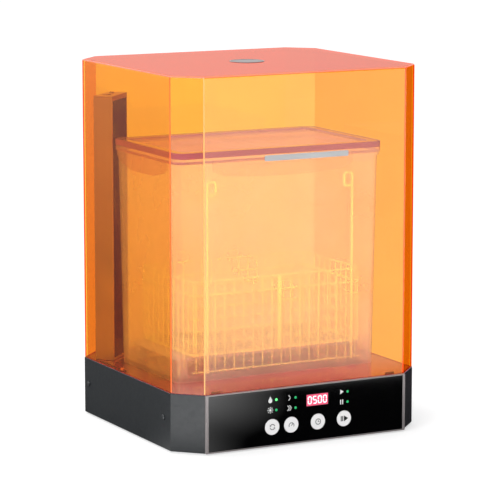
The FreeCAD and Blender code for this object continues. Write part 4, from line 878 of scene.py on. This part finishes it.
def side_screws():
    """Two screw heads on each side of the base, with dark crossed bars painted as the shade in their cross
    recesses.
    """
    low, high = (Vector(corner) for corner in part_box("side_screws"))
    # painted shade: near-black bars where the cross recess would lie in shadow
    dark = solid("screw_recess", (0.01, 0.01, 0.01), 0.1, 900.0, 0.00001, (0.6, 0.7))
    heads, crosses = bmesh.new(), bmesh.new()
    z = (low.z + high.z) / 2
    for sign, x in ((-1, low.x + HEAD_TALL), (1, high.x - HEAD_TALL)):
        for y in (low.y + HEAD_RADIUS, high.y - HEAD_RADIUS):
            place = Matrix.Translation((x, y, z)) @ Matrix.Rotation(math.radians(90 * sign), 4, "Y")
            screw_head_into(heads, place)
            shade_cross_into(crosses, place)
    piece = keep_piece("side_screw_heads", mesh_from(heads, "side_screw_heads"), "side_screws")
    recesses = mesh_from(crosses, "side_screw_recesses")
    keep_piece("side_screw_recesses", recesses, "side_screws", smooth=False, material=dark)
    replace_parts(piece, "side_screws")


PLATE_STEP = 1.6 * MM
PLATE_LOWER = 0.7
PLATE_BEVEL = 0.1 * MM


def nameplate():
    """A blank brushed bar in two steps with rounded ends, in the place of the maker's lettering."""
    low, high = (Vector(corner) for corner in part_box("cover_nameplate"))
    centre = (low + high) / 2
    bm = bmesh.new()
    half_x, half_z = (high.x - low.x) / 2, (high.z - low.z) / 2
    thick = high.y - low.y
    lower = thick * PLATE_LOWER
    outer = rounded_outline(half_x, half_z, half_z * 0.45)
    plate_into(bm, outer, front_plane(centre.x, high.y, centre.z), lower, PLATE_BEVEL)
    inner = rounded_outline(half_x - PLATE_STEP, half_z - PLATE_STEP, half_z * 0.35)
    plate_into(bm, inner, front_plane(centre.x, high.y - lower, centre.z), thick - lower, PLATE_BEVEL)
    name = "cover_blank_nameplate"
    piece = keep_piece(name, mesh_from(bm, name), "cover_nameplate", smooth=False)
    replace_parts(piece, "cover_nameplate")


BADGE_BEVEL = 0.3 * MM
BADGE_RIM = 2.5 * MM
BADGE_CENTRE = 0.5 * MM


def badge():
    """A blank round badge: a thin disc with a raised rim."""
    low, high = (Vector(corner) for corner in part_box("cover_badge"))
    centre = (low + high) / 2
    radius, tall = (high.x - low.x) / 2, high.z - low.z
    bm = bmesh.new()
    profile = [(radius, 0), (radius, tall * 0.8), (radius - BADGE_BEVEL, tall),
               (radius - BADGE_RIM + BADGE_BEVEL, tall), (radius - BADGE_RIM, tall * 0.5),
               (BADGE_CENTRE, tall * 0.5)]
    lathe_into(bm, profile, Matrix.Translation((centre.x, centre.y, low.z)), 72)
    name = "cover_blank_badge"
    piece = keep_piece(name, mesh_from(bm, name), "cover_badge", smooth=False)
    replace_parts(piece, "cover_badge")


# ---------------------------------------------------------------------------------------------
# cover seams: glowing rods paint the highlights that the glued edges catch
# ---------------------------------------------------------------------------------------------

COVER_LEG = 30.65 * MM
SEAM_INSET = 1.1 * MM
SEAM_RADIUS = 0.77 * MM


def octagon(half_x, half_y, leg, z):
    """The outline's corners at one height, from the front of the left face round the front to its rear."""
    return [(-half_x, -half_y + leg, z), (-half_x + leg, -half_y, z), (half_x - leg, -half_y, z),
            (half_x, -half_y + leg, z), (half_x, half_y - leg, z), (half_x - leg, half_y, z),
            (-half_x + leg, half_y, z), (-half_x, half_y - leg, z)]


def seam_highlights():
    """Thin glowing rods in five of the cover's glued corners and round its top edge: painted highlights, for
    the light that those edges catch.
    """
    low, high = (Vector(corner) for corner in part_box("cover_shell"))
    half_x, half_y = high.x - SEAM_INSET, high.y - SEAM_INSET
    leg = COVER_LEG - SEAM_INSET * (2 - math.sqrt(2))
    # the rods' own light is painted highlight, in red, rose and cream
    red = lit("seam_highlight_red", (0.5, 0.03, 0.02), 1.0, (0.90, 0.055, 0.012))
    rose = lit("seam_highlight_rose", (0.5, 0.1, 0.08), 1.0, (0.85, 0.20, 0.16))
    cream = lit("seam_highlight_cream", (0.6, 0.4, 0.35), 0.8, (1.0, 0.62, 0.62))
    tones = {0: rose, 1: cream, 2: red, 3: red, 7: red}
    bottom = octagon(half_x, half_y, leg, low.z + SEAM_INSET)
    top = octagon(half_x, half_y, leg, high.z - SEAM_INSET)
    for index, tone in tones.items():
        edge = [bottom[index], top[index]]
        wires(f"cover_seam_{index}", "cover_shell", [edge], SEAM_RADIUS, material=tone)
    wires("cover_top_seam", "cover_shell", [top], SEAM_RADIUS, closed=True, material=rose)


# ---------------------------------------------------------------------------------------------
# studio
# ---------------------------------------------------------------------------------------------

YAW = math.radians(27.93)
PITCH = math.radians(9.314)
DISTANCE = 3.4237
AIM_SIDE = 0.00388
AIM_HEIGHT = 0.2186
LENS = 194.0
SENSOR_WIDE = 36.0
FAR_CLIP = 50.0


def camera():
    """The photograph's camera, solved from the outline of the deck and the cover."""
    ahead = Vector((math.sin(YAW) * math.cos(PITCH), math.cos(YAW) * math.cos(PITCH), -math.sin(PITCH)))
    right = Vector((math.cos(YAW), -math.sin(YAW), 0))
    data = bpy.data.cameras.new("camera")
    data.lens = LENS
    data.sensor_width = SENSOR_WIDE
    data.clip_end = FAR_CLIP
    item = bpy.data.objects.new("camera", data)
    item.location = Vector((0, 0, AIM_HEIGHT)) - ahead * DISTANCE + right * AIM_SIDE
    item.rotation_euler = ahead.to_track_quat("-Z", "Y").to_euler()
    bpy.context.scene.collection.objects.link(item)
    bpy.context.scene.camera = item


FLOOR_HALF = 12.0
PAPER_GLOW = 0.56
# spots that brighten or darken the floor in mirrors: centre, radius, power
MIRRORED_SPOTS = (((-0.34, -0.26), 0.30, 8.0), ((-0.10, -0.52), 0.37, 4.0), ((0.30, -0.36), 0.60, -1.3))


def glow_spot(tree, centre, radius, power):
    """A soft round spot on the floor, power at its centre."""
    where = tree.add("ShaderNodeMapping", {
        "Vector": tree.place(), "Location": (*centre, 0), "Scale": (radius, radius, radius)},
        vector_type="TEXTURE").outputs[0]
    ball = tree.add("ShaderNodeTexGradient", {"Vector": where}, gradient_type="QUADRATIC_SPHERE")
    return tree.math("MULTIPLY", ball.outputs["Fac"], power)


def mirrored_level(tree):
    """How bright the floor looks in mirrors: dim, a little brighter on the left, with the round spots and a
    bright strip across the front."""
    spot = tree.add("ShaderNodeSeparateXYZ", {0: tree.place()})
    x, y = spot.outputs["X"], spot.outputs["Y"]
    far_left = tree.ramp(x, -0.5, -2.2, 0.06, 0.5)
    left = tree.math("MULTIPLY", tree.ramp(x, -0.1, -0.3), tree.ramp(y, -0.35, -0.05, 0.0, 0.12))
    level = tree.math("ADD", far_left, left)
    for centre, radius, power in MIRRORED_SPOTS:
        level = tree.math("ADD", level, glow_spot(tree, centre, radius, power))
    level = tree.math("MAXIMUM", level, 0.0)
    strip = tree.math("MULTIPLY", tree.ramp(x, -0.45, -0.15), tree.ramp(y, -0.44, -0.56, 0.0, 3.1))
    return tree.math("ADD", level, strip)


def floor_paper():
    """White paper lit from below as well, so that it stays white under the soft shadow.  Glossy surfaces
    mirror other levels than the camera sees, as between softboxes."""
    material = bpy.data.materials.new("floor_paper")
    tree = Tree(material)
    fibre = tree.noise(180.0, 3.0)
    paper = tree.add("ShaderNodeBsdfPrincipled", {
        "Base Color": tree.tones(fibre, (0.60, 0.60, 0.60), (0.62, 0.62, 0.62)), "Roughness": 0.8,
        "Specular IOR Level": 0.0, "Emission Color": (1, 1, 1, 1), "Emission Strength": PAPER_GLOW})
    mirrored = tree.add("ShaderNodeEmission", {"Strength": mirrored_level(tree)}).outputs[0]
    glossy = tree.add("ShaderNodeLightPath").outputs["Is Glossy Ray"]
    shader = tree.add("ShaderNodeMixShader", {0: glossy, 1: paper.outputs[0], 2: mirrored})
    tree.finish(shader.outputs[0])
    return material


def floor():
    """The sheet of paper under the station."""
    bm = bmesh.new()
    bmesh.ops.create_grid(bm, x_segments=1, y_segments=1, size=FLOOR_HALF)
    mesh = mesh_from(bm, "floor")
    mesh.materials.append(floor_paper())
    item = bpy.data.objects.new("floor", mesh)
    bpy.context.scene.collection.objects.link(item)


LAMP_AIM = Vector((0, 0, 0.2))


def area_light(name, where, size, power, colour=(1, 1, 1)):
    """A square lamp aimed at the middle of the station."""
    data = bpy.data.lights.new(name, "AREA")
    data.shape = "RECTANGLE"
    data.size = data.size_y = size
    data.energy = power
    data.color = colour
    item = bpy.data.objects.new(name, data)
    item.location = where
    item.rotation_euler = (LAMP_AIM - Vector(where)).to_track_quat("-Z", "Y").to_euler()
    item.visible_camera = False
    bpy.context.scene.collection.objects.link(item)
    return item


BRIGHT_SIDE = (-0.45, 0.89, 0.0)
WORLD_LOW, WORLD_HIGH = 0.25, 1.35


def world():
    """A bright studio, dimmer at the front right; the camera sees it plain white."""
    backdrop = bpy.data.worlds.new("studio")
    bpy.context.scene.world = backdrop
    tree = Tree(backdrop)
    way = tree.add("ShaderNodeTexCoord").outputs["Generated"]
    lean = tree.add("ShaderNodeVectorMath", {0: way, 1: BRIGHT_SIDE}, operation="DOT_PRODUCT")
    level = tree.ramp(lean.outputs["Value"], -1.0, 1.0, WORLD_LOW, WORLD_HIGH)
    seen = tree.add("ShaderNodeBackground", {"Color": (1, 1, 1, 1), "Strength": 1.0}).outputs[0]
    lamp = tree.add("ShaderNodeBackground", {"Color": (1, 1, 1, 1), "Strength": level}).outputs[0]
    is_camera = tree.add("ShaderNodeLightPath").outputs["Is Camera Ray"]
    mix = tree.add("ShaderNodeMixShader", {0: is_camera, 1: lamp, 2: seen}).outputs[0]
    tree.finish(mix, world=True)


LILAC = (0.56, 0.46, 1.0)
ROSE = (1.0, 0.18, 0.50)
GOLD = (1.0, 0.82, 0.38)


def inside_lights():
    """Fill for the pieces under the cover only: lilac on the clear ones and the column, rosy on the base,
    gold on the basket."""
    inner = bpy.data.collections.new("under_the_cover")
    for name in ("bucket_shell", "impeller_guard", "impeller", "lid_panel", "lid_gasket", "latch_front",
                 "latch_rear", "latch_left", "latch_right", "column_housing", "column_cap"):
        inner.objects.link(NODES[name])
    basket_only = bpy.data.collections.new("basket_only")
    for item in bpy.data.objects:
        if item.name.startswith("basket_") and item.name not in NODES:
            basket_only.objects.link(item)
    deck_only = bpy.data.collections.new("deck_only")
    deck_only.objects.link(NODES["base_housing"])
    # each lamp's name, place, size in metres, watts, colour and the pieces it lights
    for name, where, size, power, colour, receivers in (
            ("fill_front", (-0.5, -1.4, 0.5), 0.8, 12, LILAC, inner),
            ("fill_back", (0.4, 1.4, 0.5), 0.8, 11, LILAC, inner),
            ("fill_top", (0.05, -0.13, 0.42), 0.26, 30, ROSE, deck_only),
            ("glint_left", (-1.0, -1.0, 0.7), 0.5, 15, GOLD, basket_only),
            ("glint_right", (0.7, -1.3, 0.7), 0.5, 15, GOLD, basket_only)):
        lamp = area_light(name, where, size, power, colour)
        lamp.visible_glossy = False
        lamp.light_linking.receiver_collection = receivers


SEE_THROUGH_STEPS = 40


def studio():
    """The camera, the floor and all light."""
    camera()
    floor()
    world()
    area_light("key", (-2.2, -1.6, 2.4), 1.6, 40)
    inside_lights()
    scene = bpy.context.scene
    scene.view_settings.view_transform = "Standard"
    scene.cycles.transparent_max_bounces = SEE_THROUGH_STEPS


dress_nodes()
basket()
buttons()
lamps_and_labels()
display()
side_screws()
nameplate()
badge()
seam_highlights()
studio()
